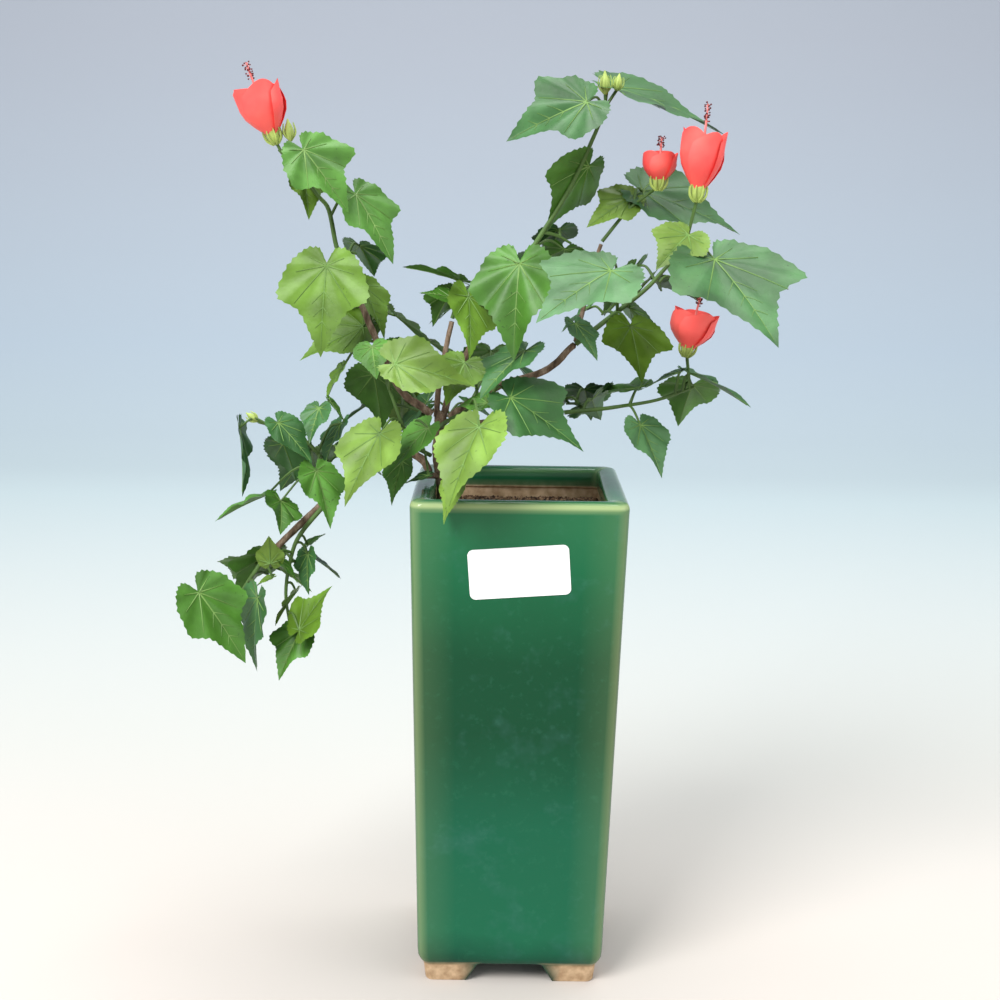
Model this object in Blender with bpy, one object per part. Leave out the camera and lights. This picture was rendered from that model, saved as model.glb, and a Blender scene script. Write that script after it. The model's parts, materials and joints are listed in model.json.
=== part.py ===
"""Wax mallow grown as a bonsai in a tall, square, glazed cascade pot.

Sizes are in millimetres, in the pot's own frame: X to the right, Y away from the front, Z up,
with the middle of the pot's foot at zero. Blender's metres and the pot's place beside the
middle of the whole plant are added when a mesh is made.
"""

import math
import random
from collections import namedtuple

import bmesh
import bpy
from mathutils import Matrix, Vector
from mathutils.bvhtree import BVHTree

MM = 0.001
SEED = 24
GAP = 0.3
POT_AT = Vector((12.5, -2.5, 0.0))

# Pot: outer width at the rim and above the feet, and how far the top leans to the right
POT_HEIGHT = 214.5
POT_TOP_WIDTH = 90.0
POT_BASE_WIDTH = 80.0
POT_LEAN = 1.3
POT_CORNER = 5.0
CORNER_STEPS = 5
FOOT_HEIGHT = 9.0
FOOT_INSET = 3.4
ARCH_BOTTOM = 37.4
ARCH_TOP = 25.4
LIP_WIDTH = 9.2
LIP_DEPTH = 9.5
LIP_OVERHANG = 1.2
FLOOR_TOP = 16.0
FLOOR_HALF = 32.5
INNER_CORNER = 3.0
DRAIN_RADIUS = 6.0
SOIL_TOP = 202.0

# Leaf blade, as shares of its length from the leaf stalk to the tip
BLADE_THICK = 1.0
BLADE_WIDTH = 0.95
BLADE_FOLD = 0.10
BLADE_ARCH = 0.12
STALK_RADII = (0.6, 0.5, 0.3)
STALK_SINK = 0.12
STALK_RISE = 0.25
# Half outline: how far along the midrib, how far out, and how much a full lobe adds to each
HALF_OUTLINE = (
    (-0.16, 0.11, 0.00, 0.00),
    (-0.10, 0.29, 0.00, 0.00),
    (0.10, 0.41, 0.00, 0.06),
    (0.34, 0.42, 0.08, 0.17),
    (0.52, 0.28, 0.00, 0.02),
    (0.76, 0.13, 0.00, 0.00),
)
MIDRIB_HEEL = 0.06
MIDRIB_KNEE = 0.45
WIDEST = 4

# Flowers: corners round one, the depth of its throat as a share of its length, and the
# stamen column's radius at shares of that length
PETAL_SIDES = 10
BUD_SIDES = 6
THROAT = 0.62
COLUMN = ((0.55, 0.5), (1.05, 0.5), (1.25, 1.3), (1.36, 0.7))

# Leaves placed by rule along a side twig
TWIG_RADII = (0.9, 0.45)
RULE_LENGTHS = (34.0, 17.0)
RULE_STALK = 0.38
RULE_SPREAD = 62.0
RULE_DIPS = (24.0, 52.0)
RULE_TRIES = 8

LEAF_GREEN = (0.13, 0.30, 0.06)
BARK_BROWN = (0.21, 0.15, 0.10)
PETAL_RED = (0.83, 0.09, 0.09)

# A leaf: where its stalk meets the blade, the way its tip points, the dip of its midrib below
# level, its roll about the midrib, its length, and how strongly it is lobed
Leaf = namedtuple("Leaf", "x y z bearing dip roll length lobe")
# A side twig: the share of the stem where it leaves, its way, its rise, length and leaves
Twig = namedtuple("Twig", "along bearing rise length leaves")
# A flower or bud: its base, the way it points, its rise, length and radius, and if it is open
Bloom = namedtuple("Bloom", "x y z bearing rise length wide open")
Mass = namedtuple("Mass", "route radii leaves twigs blooms")

# Limbs: points along the middle, and the radius at each
LIMBS = {
    "trunk": (
        ((-30.6, 0, 202.3), (-31.2, 0, 206), (-32.2, 0.5, 214), (-34.2, 1, 226), (-33.4, 0.5, 236),
         (-32.8, 0, 242)),
        (3.4, 2.6, 2.2, 2.0, 2.0, 2.6),
    ),
    "bough_left_lower": (
        ((-36.6, -0.5, 243.6), (-41, -1, 247), (-48, -2, 252), (-54.5, -2, 262), (-58.6, -2, 272)),
        (1.7, 1.6, 1.5, 1.45, 1.4),
    ),
    "bough_left_upper": (
        ((-59.1, -2, 273.0), (-66, -1, 289), (-73.6, 0, 307)),
        (1.35, 1.25, 1.15),
    ),
    "bough_centre": (
        ((-34.5, -1.5, 243.0), (-33.5, -4, 256), (-31, -7, 270), (-28, -8, 284)),
        (1.2, 1.15, 1.05, 1.0),
    ),
    "bough_middle": (
        ((-31.6, 2.0, 242.9), (-27, 6, 258), (-14, 10, 284), (4.5, 12, 312)),
        (1.5, 1.4, 1.3, 1.2),
    ),
    "bough_right": (
        ((-28.9, -0.5, 242.5), (-22, -1, 248), (-7, 0, 256.5), (12, 0, 263.2), (23, 0, 273.5)),
        (1.5, 1.5, 1.45, 1.4, 1.3),
    ),
    "bough_right_upper": (
        ((24.5, 2.9, 275.4), (28, 9, 290), (31, 12, 304), (35, 14, 316)),
        (0.95, 0.9, 0.85, 0.8),
    ),
    "bough_low_right": (
        ((-29.4, 1.5, 238.0), (-18, 3, 239.5), (0, 4, 242), (19, 4, 244.4)),
        (1.2, 1.15, 1.1, 1.05),
    ),
    "bough_cascade_upper": (
        ((-37.3, 1.5, 218.0), (-41.5, 2.5, 224), (-52, 4, 228), (-65, 4, 222), (-77.5, 3, 209.5)),
        (1.5, 1.7, 1.7, 1.65, 1.6),
    ),
    "bough_cascade_lower": (
        ((-78.5, 2.9, 208.6), (-88, 2, 199.5), (-101, 1, 187), (-110, 0, 177.8)),
        (1.6, 1.5, 1.4, 1.3),
    ),
}
STUB = ((-33.2, -0.5, 217.0), (-39.6, -7.0, 218.0), 1.2)
LIMB_SIDES = 7
LIMB_STEPS = 2

MASSES = {
    "foliage_left_crown": Mass(
        ((-74.0, 0, 308.2), (-77.0, 0, 314.5), (-80, 0, 329), (-84.5, 0, 335), (-93, -3, 346),
         (-100.0, -4, 353.5)),
        (1.1, 0.7),
        (
            Leaf(-89.7, -9, 354, 345, 47, -38, 32, 0.9),
            Leaf(-91, 3, 345, 300, 62, 10, 21, 0.2),
            Leaf(-69.4, 2, 336.5, 337, 53, -15, 34, 0.6),
            Leaf(-79.5, -14, 308, 256, 74, 3, 39, 0.6),
        ),
        (Twig(0.15, 20, -10, 8, 1),),
        (Bloom(-101.5, -4, 357, 190, 70, 24, 10, True), Bloom(-95.0, -4, 357, 200, 82, 9, 2.6, False)),
    ),
    "foliage_left_shoulder": Mass(
        ((-58.8, 0.4, 272.6), (-62, 5, 276), (-66, 9, 284), (-69, 12, 292)),
        (1.0, 0.6),
        (
            Leaf(-67.6, 12, 298, 330, 55, -5, 26, 0.3),
            Leaf(-66, 13, 280, 195, 22, 32, 32, 0.5),
            Leaf(-75, 6, 263, 200, 55, 0, 16, 0.3),
            Leaf(-62, 5, 260.5, 80, 55, 3, 31, 0.4),
        ),
        (Twig(0.5, 75, 0, 18, 3),),
        (),
    ),
    "foliage_left_front": Mass(
        ((-37.0, -1.6, 226.0), (-45, -11, 233), (-50, -15, 246), (-55, -13, 259)),
        (1.0, 0.6),
        (
            Leaf(-56, -30, 240.5, 228, 50, 4, 35, 0.5),
            Leaf(-36.5, -24, 242, 201, 44, 16, 24, 0.1),
            Leaf(-48, -14, 226, 230, 64, -6, 20, 0.4),
            Leaf(-51, -34, 269, 8, 11, -38, 36, 0.3),
            Leaf(-61, -13, 274, 280, 33, -13, 20, 0.0),
            Leaf(-36.2, -27, 222, 180, 15, 10, 11, 0.3),
        ),
        (),
        (),
    ),
    "foliage_centre_front": Mass(
        ((-33.0, -3.4, 238.5), (-29, -14, 243), (-20, -22, 249), (-8, -20, 256)),
        (1.1, 0.6),
        (
            Leaf(-15, -50, 247, 240, 45, -7, 40, 0.0),
            Leaf(-23.5, -47, 226, 213, 66, 0, 21, 0.2),
            Leaf(-4, -36, 256.5, 340, 28, -25, 38, 0.9),
            Leaf(-12, -30, 253, 165, 5, 28, 15, 0.3),
            Leaf(-22, -14, 268, 250, 34, 18, 25, 0.0),
            Leaf(3, -22, 274, 225, 28, -5, 32, 0.3),
        ),
        (),
        (),
    ),
    "foliage_centre_top": Mass(
        ((-27.8, -8, 285.4), (-25, -9, 292), (-16, -12, 298), (-6, -15, 303)),
        (0.9, 0.55),
        (
            Leaf(-21, -20, 296, 280, 55, 38, 29, 0.5),
            Leaf(0, -18, 310, 254, 68, -7, 41, 0.5),
            Leaf(-24.5, -4, 300.5, 182, -20, -12, 25, 0.2),
            Leaf(-28, -8, 294, 190, -12, 25, 14, 0.3),
        ),
        (Twig(0.3, 80, 0, 18, 3),),
        (),
    ),
    "foliage_top": Mass(
        ((5.2, 12, 313.3), (20.5, 12, 338.5), (31, 9, 362), (35.4, 7, 374)),
        (1.1, 0.7),
        (
            Leaf(27.5, -4, 374.5, 198, 20, 42, 38, 0.6),
            Leaf(38, 19, 382, 358, 17, -15, 53, 0.3),
            Leaf(29.5, 14, 349.5, 176, 54, -36, 35, 0.8),
            Leaf(19.6, 17, 314, 92, 33, -14, 24, 0.2),
        ),
        (Twig(0.10, 20, -20, 14, 1),),
        (Bloom(34.6, 6, 378, 180, 88, 9.5, 2.6, False), Bloom(39.5, 7, 379.5, 0, 82, 7, 2.2, False)),
    ),
    "foliage_right_upper": Mass(
        ((35.4, 14.1, 317.2), (46, 13, 330.5), (55, 10, 338)),
        (0.8, 0.55),
        (
            Leaf(48, 18, 336, 200, 28, 34, 24, 0.6),
            Leaf(51.6, 25, 339, 357, 17, -30, 48, 0.4),
        ),
        (),
        (Bloom(58, 6, 340.5, 20, 88, 15, 7.5, True),),
    ),
    "foliage_right": Mass(
        ((24.4, -0.3, 274.5), (37.4, 0, 285), (53, 0, 297.6), (61.5, 0, 307), (70, -2, 316.5)),
        (1.2, 0.7),
        (
            Leaf(37, -36, 308, 220, 22, 18, 44, 0.8),
            Leaf(23.5, -6, 284, 315, 43, 3, 20, 0.3),
            Leaf(70, -8, 321.5, 232, 27, 25, 27, 0.4),
            Leaf(79, -17, 312.5, 299, 32, -7, 55, 1.0),
            Leaf(46.5, -11, 284, 60, 58, 0, 29, 1.0),
        ),
        (Twig(0.3, 100, -5, 22, 3), Twig(0.6, 75, -15, 20, 3)),
        (Bloom(73, -7, 336, 20, 85, 28, 9.5, True),),
    ),
    "foliage_low_right": Mass(
        ((20.4, 4, 244.6), (32, 3, 246), (44, 2, 247.8), (60, 1, 251), (75.5, 0, 256.8)),
        (1.0, 0.6),
        (
            Leaf(53, 5, 255.5, 140, 5, 12, 24, 0.3),
            Leaf(69, -6, 264, 173, 21, 0, 17.5, 0.3),
            Leaf(76, 9, 257, 97, 36, -7, 31, 0.2),
            Leaf(72.5, -1, 263, 352, 21, 4, 30.5, 0.3),
            Leaf(32.4, 9, 250, 83, 20, 39, 29, 0.1),
            Leaf(52, -8, 242, 305, 46, 0, 26, 0.2),
        ),
        (Twig(0.2, 110, 0, 22, 3),),
        (Bloom(71.2, -3, 271.5, 5, 78, 19, 10, True),),
    ),
    "foliage_cascade_top": Mass(
        ((-78.4, 1.0, 211.6), (-81, -2, 219), (-88, -4, 230), (-99, -5, 237), (-110, -6, 240)),
        (1.0, 0.6),
        (
            Leaf(-118, -8, 238.5, 330, 78, 32, 30, 0.3),
            Leaf(-100, -20, 242.5, 340, 42, -16, 23, 0.2),
            Leaf(-83, -14, 248, 249, 47, -6, 17, 0.1),
            Leaf(-80, -6, 250, 355, 50, 2, 13, 0.2),
            Leaf(-75, -3, 240, 230, 50, -20, 21, 0.4),
            Leaf(-101, 2, 230, 73, 50, 4, 24, 0.2),
            Leaf(-84, -22, 223, 309, 55, 6, 26, 0.3),
            Leaf(-100.5, -9, 207, 282, 24, 33, 21.5, 0.2),
            Leaf(-107, -3, 208, 190, 18, -7, 25, 0.2),
        ),
        (Twig(0.3, 75, 5, 18, 3),),
        (Bloom(-110.5, -6, 240.5, 170, 35, 6, 2, False),),
    ),
    "foliage_cascade_side": Mass(
        ((-79.3, -0.4, 207.4), (-93, -4, 191), (-97.5, -4, 179), (-99.5, -5, 165), (-98, -6, 152)),
        (1.1, 0.6),
        (
            Leaf(-101.5, -10, 181, 350, 44, 5, 13.5, 0.2),
            Leaf(-90, -2, 182.5, 256, 72, -35, 18.5, 0.2),
            Leaf(-91, 3, 184.5, 25, -35, 3, 10, 0.2),
            Leaf(-95, -2, 165, 190, 51, -18, 18, 0.2),
            Leaf(-92.5, -18, 151.5, 8, -58, -27, 24.5, 0.9),
            Leaf(-92.5, -9, 150, 225, 52, 10, 24, 0.6),
            Leaf(-104.7, -14, 180, 275, -71, 1, 15, 0.0),
        ),
        (Twig(0.5, 80, -20, 16, 2),),
        (),
    ),
    "foliage_cascade_tip": Mass(
        ((-111.0, 0, 176.7), (-116, -1, 169.5), (-120.4, -2, 162.5)),
        (1.1, 0.7),
        (
            Leaf(-134.2, -24, 170.5, 350, 52, -32, 37, 0.4),
            Leaf(-110.5, -12, 165.5, 205, 80, 6, 34, 0.2),
            Leaf(-105, -4, 172, 200, 20, 0, 9, 0.2),
        ),
        (Twig(0.3, 75, -15, 16, 2),),
        (),
    ),
    "foliage_back_left": Mass(
        ((-36.6, 3.0, 233.5), (-40, 14, 240), (-48, 28, 252), (-55, 40, 266)),
        (1.1, 0.6),
        (),
        (Twig(0.4, 150, 5, 20, 3), Twig(0.9, 70, 10, 20, 3)),
        (),
    ),
    "foliage_back_middle": Mass(
        ((-33.4, 3.6, 229.0), (-28, 14, 236), (-20, 30, 246), (-12, 44, 262)),
        (1.1, 0.6),
        (),
        (Twig(0.4, 110, 0, 20, 3), Twig(0.9, 50, 10, 20, 3)),
        (),
    ),
    "foliage_back_right": Mass(
        ((-13.2, 12.4, 286.6), (-6, 22, 290), (6, 34, 297), (18, 44, 306)),
        (0.9, 0.55),
        (),
        (Twig(0.4, 130, 0, 18, 3), Twig(0.9, 50, -5, 20, 3)),
        (),
    ),
}


def clear_scene():
    for thing in list(bpy.data.objects):
        bpy.data.objects.remove(thing, do_unlink=True)


def plain_material(name, colour, roughness):
    made = bpy.data.materials.new(name)
    made.use_nodes = True
    shader = made.node_tree.nodes["Principled BSDF"]
    shader.inputs["Base Color"].default_value = (*colour, 1.0)
    shader.inputs["Roughness"].default_value = roughness
    shader.inputs["Metallic"].default_value = 0.0
    return made


def solid_object(name, bm, material, smooth_angle=40.0):
    """Turns a mesh in millimetres of the pot's frame into an object in metres."""
    bmesh.ops.transform(bm, matrix=Matrix.Scale(MM, 4) @ Matrix.Translation(POT_AT), verts=bm.verts)
    bmesh.ops.recalc_face_normals(bm, faces=bm.faces)
    mesh = bpy.data.meshes.new(name)
    bm.to_mesh(mesh)
    bm.free()
    mesh.shade_smooth()
    mesh.set_sharp_from_angle(angle=math.radians(smooth_angle))
    mesh.materials.append(material)
    made = bpy.data.objects.new(name, mesh)
    bpy.context.scene.collection.objects.link(made)
    return made


def bridge(bm, rings, close=True):
    """Walls between neighbouring rings of equal count, with a cap at each end."""
    count = len(rings[0])
    for low, high in zip(rings, rings[1:]):
        for i in range(count):
            j = (i + 1) % count
            bm.faces.new((low[i], low[j], high[j], high[i]))
    if close:
        bm.faces.new(list(reversed(rings[0])))
        bm.faces.new(rings[-1])


def square_ring(bm, half, corner, z):
    """A rounded square, shifted by the pot's lean at its height."""
    ring = []
    shift = POT_LEAN * z / POT_HEIGHT
    for quarter in range(4):
        start = quarter * math.pi / 2
        middle = Vector((math.cos(start + math.pi / 4), math.sin(start + math.pi / 4)))
        middle *= (half - corner) * math.sqrt(2)
        for step in range(CORNER_STEPS + 1):
            turn = start + step * math.pi / 2 / CORNER_STEPS
            x = middle.x + corner * math.cos(turn) + shift
            ring.append(bm.verts.new((x, middle.y + corner * math.sin(turn), z)))
    return ring


def wall_half(z):
    """Half the pot's outer width at a height above its feet."""
    share = (z - FOOT_HEIGHT) / (POT_HEIGHT - FOOT_HEIGHT)
    return (POT_BASE_WIDTH + (POT_TOP_WIDTH - POT_BASE_WIDTH) * share) / 2


def cavity_half(z):
    """Half the width of the space inside the pot, under its lip."""
    lip_foot = POT_HEIGHT - LIP_DEPTH
    top = POT_TOP_WIDTH / 2 - LIP_WIDTH + LIP_OVERHANG
    return FLOOR_HALF + (top - FLOOR_HALF) * (z - FLOOR_TOP) / (lip_foot - FLOOR_TOP)


def pot_profile():
    """Rings from the feet up the outside, over the rim and down to the floor inside."""
    rim = POT_TOP_WIDTH / 2
    lip = rim - LIP_WIDTH
    lip_foot = POT_HEIGHT - LIP_DEPTH
    outside = [
        (0.0, wall_half(FOOT_HEIGHT) - FOOT_INSET, POT_CORNER - 1.5),
        (FOOT_HEIGHT - 1.5, wall_half(FOOT_HEIGHT) - FOOT_INSET + 0.8, POT_CORNER - 1.5),
        (FOOT_HEIGHT + 1.0, wall_half(FOOT_HEIGHT) - 1.1, POT_CORNER),
        (FOOT_HEIGHT + 4.0, wall_half(FOOT_HEIGHT + 4.0), POT_CORNER),
        (POT_HEIGHT - 5.0, wall_half(POT_HEIGHT - 5.0), POT_CORNER),
    ]
    over_rim = [
        (POT_HEIGHT - 2.2, rim, POT_CORNER),
        (POT_HEIGHT - 0.6, rim - 0.9, POT_CORNER - 0.5),
        (POT_HEIGHT, rim - 2.8, POT_CORNER - 1.0),
        (POT_HEIGHT - 0.3, lip + 2.4, INNER_CORNER + 0.6),
        (POT_HEIGHT - 1.6, lip + 0.5, INNER_CORNER),
        (POT_HEIGHT - 3.4, lip, INNER_CORNER),
    ]
    inside = [
        (lip_foot + 1.2, lip, INNER_CORNER),
        (lip_foot, cavity_half(lip_foot), INNER_CORNER),
        (FLOOR_TOP, FLOOR_HALF, INNER_CORNER),
    ]
    return outside + over_rim + inside


def cutter(name, bm):
    made = solid_object(name, bm, bpy.data.materials["pot_glaze"])
    made.hide_render = True
    made.display_type = "WIRE"
    return made


def arch_cutter(name, turned):
    """A prism with slanted sides, which leaves a foot at each corner of the pot."""
    bm = bmesh.new()
    reach = POT_BASE_WIDTH
    below = -2.0
    flare = (ARCH_BOTTOM - ARCH_TOP) / 2 * (-below / FOOT_HEIGHT)
    section = (
        (-ARCH_BOTTOM / 2 - flare, below),
        (ARCH_BOTTOM / 2 + flare, below),
        (ARCH_TOP / 2, FOOT_HEIGHT),
        (-ARCH_TOP / 2, FOOT_HEIGHT),
    )
    rings = []
    for along in (-reach, reach):
        rings.append([bm.verts.new((across, along, z)) for across, z in section])
    bridge(bm, rings)
    bmesh.ops.rotate(bm, verts=bm.verts, matrix=Matrix.Rotation(turned, 3, "Z"))
    return cutter(name, bm)


def drain_cutter():
    bm = bmesh.new()
    depth = FLOOR_TOP + 4.0
    lift = Matrix.Translation((0.0, 0.0, depth / 2))
    bmesh.ops.create_cone(
        bm, cap_ends=True, segments=16, radius1=DRAIN_RADIUS, radius2=DRAIN_RADIUS,
        depth=depth, matrix=lift,
    )
    return cutter("drain_cut", bm)


def make_pot():
    bm = bmesh.new()
    rings = [square_ring(bm, half, corner, z) for z, half, corner in pot_profile()]
    bridge(bm, rings)
    glaze = plain_material("pot_glaze", (0.02, 0.16, 0.10), 0.15)
    pot = solid_object("pot", bm, glaze)
    cuts = [arch_cutter("arch_front", 0.0), arch_cutter("arch_side", math.pi / 2), drain_cutter()]
    for cut in cuts:
        modifier = pot.modifiers.new(cut.name, "BOOLEAN")
        modifier.operation = "DIFFERENCE"
        modifier.object = cut
    return pot


def make_soil():
    bm = bmesh.new()
    levels = (FLOOR_TOP + GAP, SOIL_TOP)
    corner = INNER_CORNER - GAP
    rings = [square_ring(bm, cavity_half(z) - GAP, corner, z) for z in levels]
    bridge(bm, rings)
    return solid_object("soil", bm, plain_material("soil", (0.16, 0.09, 0.05), 0.95))


def smooth_route(points, steps):
    """Points of a Catmull-Rom curve through the given ones, with each one's share of the way."""
    knots = [Vector(p) for p in points]
    ends = [2 * knots[0] - knots[1]] + knots + [2 * knots[-1] - knots[-2]]
    found = []
    for i in range(len(knots) - 1):
        before, start, stop, after = ends[i : i + 4]
        for step in range(steps):
            t = step / steps
            bend = 2 * before - 5 * start + 4 * stop - after
            twist = 3 * start - before - 3 * stop + after
            point = (2 * start + (stop - before) * t + bend * t * t + twist * t**3) / 2
            found.append((point, (i + t) / (len(knots) - 1)))
    found.append((knots[-1], 1.0))
    return found


def spread(values, share):
    """The value at a share of the way along a list of evenly spaced values."""
    place = share * (len(values) - 1)
    i = min(int(place), len(values) - 2)
    return values[i] + (values[i + 1] - values[i]) * (place - i)


def add_tube(bm, points, radii, sides):
    """A closed tube whose rings turn as little as they can from one to the next."""
    rings = []
    across = None
    for i, point in enumerate(points):
        ahead = points[min(i + 1, len(points) - 1)] - points[max(i - 1, 0)]
        ahead.normalize()
        if across is None:
            across = ahead.orthogonal().normalized()
        across = (across - across.dot(ahead) * ahead).normalized()
        other = ahead.cross(across)
        ring = []
        for k in range(sides):
            turn = 2 * math.pi * k / sides
            offset = across * math.cos(turn) + other * math.sin(turn)
            ring.append(bm.verts.new(point + offset * radii[i]))
        rings.append(ring)
    bridge(bm, rings)


def tube_along(bm, route, radii, sides, steps):
    found = smooth_route(route, steps)
    add_tube(bm, [p for p, _ in found], [spread(radii, share) for _, share in found], sides)


def join_by_union(name, parts, solver):
    """Joins solids into one: the first keeps the name, and the others are removed."""
    whole = parts[0]
    whole.name = name
    if len(parts) == 1:
        return whole
    group = bpy.data.collections.new(name + "_parts")
    for part in parts[1:]:
        bpy.context.scene.collection.objects.unlink(part)
        group.objects.link(part)
    bpy.context.scene.collection.children.link(group)
    modifier = whole.modifiers.new("union", "BOOLEAN")
    modifier.operation = "UNION"
    modifier.operand_type = "COLLECTION"
    modifier.collection = group
    modifier.solver = solver
    if solver == "EXACT":
        modifier.material_mode = "TRANSFER"
    bpy.context.view_layer.update()
    joined = bpy.data.meshes.new_from_object(whole.evaluated_get(bpy.context.evaluated_depsgraph_get()))
    whole.modifiers.clear()
    whole.data = joined
    for part in list(group.objects):
        bpy.data.objects.remove(part, do_unlink=True)
    bpy.data.collections.remove(group)
    return whole


def make_limb(name, bark):
    points, radii = LIMBS[name]
    bm = bmesh.new()
    tube_along(bm, points, radii, LIMB_SIDES, LIMB_STEPS)
    if name != "trunk":
        return solid_object(name, bm, bark)
    bm.verts.ensure_lookup_table()
    for vert in bm.verts[:LIMB_SIDES]:
        vert.co.z = points[0][2]
    limb = solid_object(name, bm, bark)
    start, stop, radius = STUB
    bm = bmesh.new()
    add_tube(bm, [Vector(start), Vector(stop)], (radius * 1.15, radius), LIMB_SIDES)
    return join_by_union(name, [limb, solid_object("stub", bm, bark)], "EXACT")


def way(bearing, rise):
    """A direction from its compass bearing and its rise above level, both in degrees."""
    turn = math.radians(bearing)
    lift = math.radians(rise)
    level = math.cos(lift)
    return Vector((math.cos(turn) * level, math.sin(turn) * level, math.sin(lift)))


def blade_frame(leaf):
    """The blade's directions: to its tip, out of its upper face, and to its left side."""
    tip = way(leaf.bearing, -leaf.dip)
    face = way(leaf.bearing, 90.0 - leaf.dip)
    side = face.cross(tip)
    roll = math.radians(leaf.roll)
    face = face * math.cos(roll) + side * math.sin(roll)
    return tip, face, face.cross(tip)


def blade_point(leaf, frame, along, out, lift=0.0):
    """A point of the blade, which folds up along its midrib and arches down to its tip."""
    tip, face, side = frame
    sag = BLADE_FOLD * abs(out) - BLADE_ARCH * max(along, 0.0) ** 2
    base = Vector((leaf.x, leaf.y, leaf.z))
    return base + leaf.length * (tip * along + side * out + face * sag) + face * lift


def blade_outline(leaf):
    """The right half's points, out to the tip, and then the left half's, back to the stalk."""
    right = []
    for along, out, more_along, more_out in HALF_OUTLINE:
        right.append((along + more_along * leaf.lobe, (out + more_out * leaf.lobe) * BLADE_WIDTH))
    left = [(along, -out) for along, out in reversed(right)]
    return [(0.0, 0.0)] + right + [(1.0, 0.0)] + left


def blade_solid(leaf, thick, material):
    """Two faces that meet at the outline and stand apart by the thickness along the midrib."""
    frame = blade_frame(leaf)
    outline = blade_outline(leaf)
    count = len(outline)
    bm = bmesh.new()
    rim = [bm.verts.new(blade_point(leaf, frame, along, out)) for along, out in outline]
    for lift in (thick / 2, -thick / 2):
        heel = bm.verts.new(blade_point(leaf, frame, MIDRIB_HEEL, 0.0, lift))
        knee = bm.verts.new(blade_point(leaf, frame, MIDRIB_KNEE, 0.0, lift))
        for i in range(count):
            past_widest = WIDEST <= i < count - WIDEST
            faces = [(knee if past_widest else heel, rim[i], rim[(i + 1) % count])]
            if i == WIDEST:
                faces += [(heel, rim[i], knee), (heel, knee, rim[count - i])]
            for face in faces:
                bm.faces.new(face if lift > 0 else face[::-1])
    return solid_object("blade", bm, material)


def nearest_share(route, target):
    """The share of the route where a stalk to the target leaves it: a little before the nearest."""
    found = min(route, key=lambda item: (item[0] - target).length)
    return max(found[1] - 0.08, 0.0)


def point_at(route, share):
    for (start, low), (stop, high) in zip(route, route[1:]):
        if share <= high:
            return start.lerp(stop, (share - low) / (high - low))
    return route[-1][0]


def stalk_solid(start, leaf, material):
    """The leaf's stalk: out of the stem, up and over, and sunk into the blade."""
    base = Vector((leaf.x, leaf.y, leaf.z))
    sunk = blade_point(leaf, blade_frame(leaf), STALK_SINK, 0.0)
    rise = Vector((0.0, 0.0, STALK_RISE * (base - start).length))
    middle = (start + base) / 2 + rise
    bm = bmesh.new()
    add_tube(bm, [start, middle, sunk], STALK_RADII, 3)
    return solid_object("stalk", bm, material)


def bloom_rings(bloom):
    """Rings of a flower or bud: how far along it, its radius, and how far its petals stand out."""
    if bloom.open:
        return [
            (-0.14, 0.20, 0.0), (0.02, 0.18, 0.0), (0.22, 0.72, 0.0), (0.55, 1.00, 0.0),
            (0.92, 0.90, 0.07),
        ]
    return [(-0.10, 0.35, 0.0), (0.40, 1.0, 0.0), (1.0, 0.4, 0.0)]


def bloom_solids(bloom, material):
    """A flower's furled petals on its calyx, with the long column that carries its stamens."""
    ahead = way(bloom.bearing, bloom.rise)
    across = ahead.orthogonal().normalized()
    other = ahead.cross(across)
    base = Vector((bloom.x, bloom.y, bloom.z))
    sides = PETAL_SIDES if bloom.open else BUD_SIDES
    bm = bmesh.new()
    made = []
    for along, radius, petal in bloom_rings(bloom):
        ring = []
        for k in range(sides):
            turn = 2 * math.pi * k / sides
            out = across * math.cos(turn) + other * math.sin(turn)
            reach = along + petal * (1 if k % 2 == 0 else -1)
            point = base + ahead * reach * bloom.length + out * radius * bloom.wide
            ring.append(bm.verts.new(point))
        made.append(ring)
    bridge(bm, made, close=False)
    bm.faces.new(list(reversed(made[0])))
    if bloom.open:
        middle = bm.verts.new(base + ahead * THROAT * bloom.length)
        for k in range(sides):
            bm.faces.new((made[-1][k], made[-1][(k + 1) % sides], middle))
    else:
        bm.faces.new(made[-1])
    solids = [solid_object("petals", bm, material)]
    if bloom.open:
        bm = bmesh.new()
        add_tube(bm, [base + ahead * s * bloom.length for s, _ in COLUMN], [r for _, r in COLUMN], 4)
        solids.append(solid_object("column", bm, material))
    return solids


def link_solid(start, bloom, material):
    """The flower's own stalk, from the stem's end into its calyx."""
    base = Vector((bloom.x, bloom.y, bloom.z))
    sunk = base + way(bloom.bearing, bloom.rise) * 0.02 * bloom.length
    bm = bmesh.new()
    add_tube(bm, [start, sunk], (0.7, 0.6), 4)
    return solid_object("flower_stalk", bm, material)


def tree_of(solid):
    mesh = solid.data
    points = [v.co / MM for v in mesh.vertices]
    return BVHTree.FromPolygons(points, [list(p.vertices) for p in mesh.polygons])


def touches(trees, solid):
    own = tree_of(solid)
    return any(own.overlap(other) for other in trees)


def remove_solids(solids):
    for solid in solids:
        mesh = solid.data
        bpy.data.objects.remove(solid, do_unlink=True)
        bpy.data.meshes.remove(mesh)


def leaf_solids(start, leaf, keep_clear, blades, material):
    """A leaf and its stalk, or nothing where either would touch what it must stay clear of."""
    wide_blade = blade_solid(leaf, BLADE_THICK + 2 * GAP, material)
    stalk = stalk_solid(start, leaf, material)
    blocked = touches(keep_clear + blades, wide_blade) or touches(keep_clear, stalk)
    remove_solids([wide_blade])
    if blocked:
        remove_solids([stalk])
        return []
    return [stalk, blade_solid(leaf, BLADE_THICK, material)]


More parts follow.
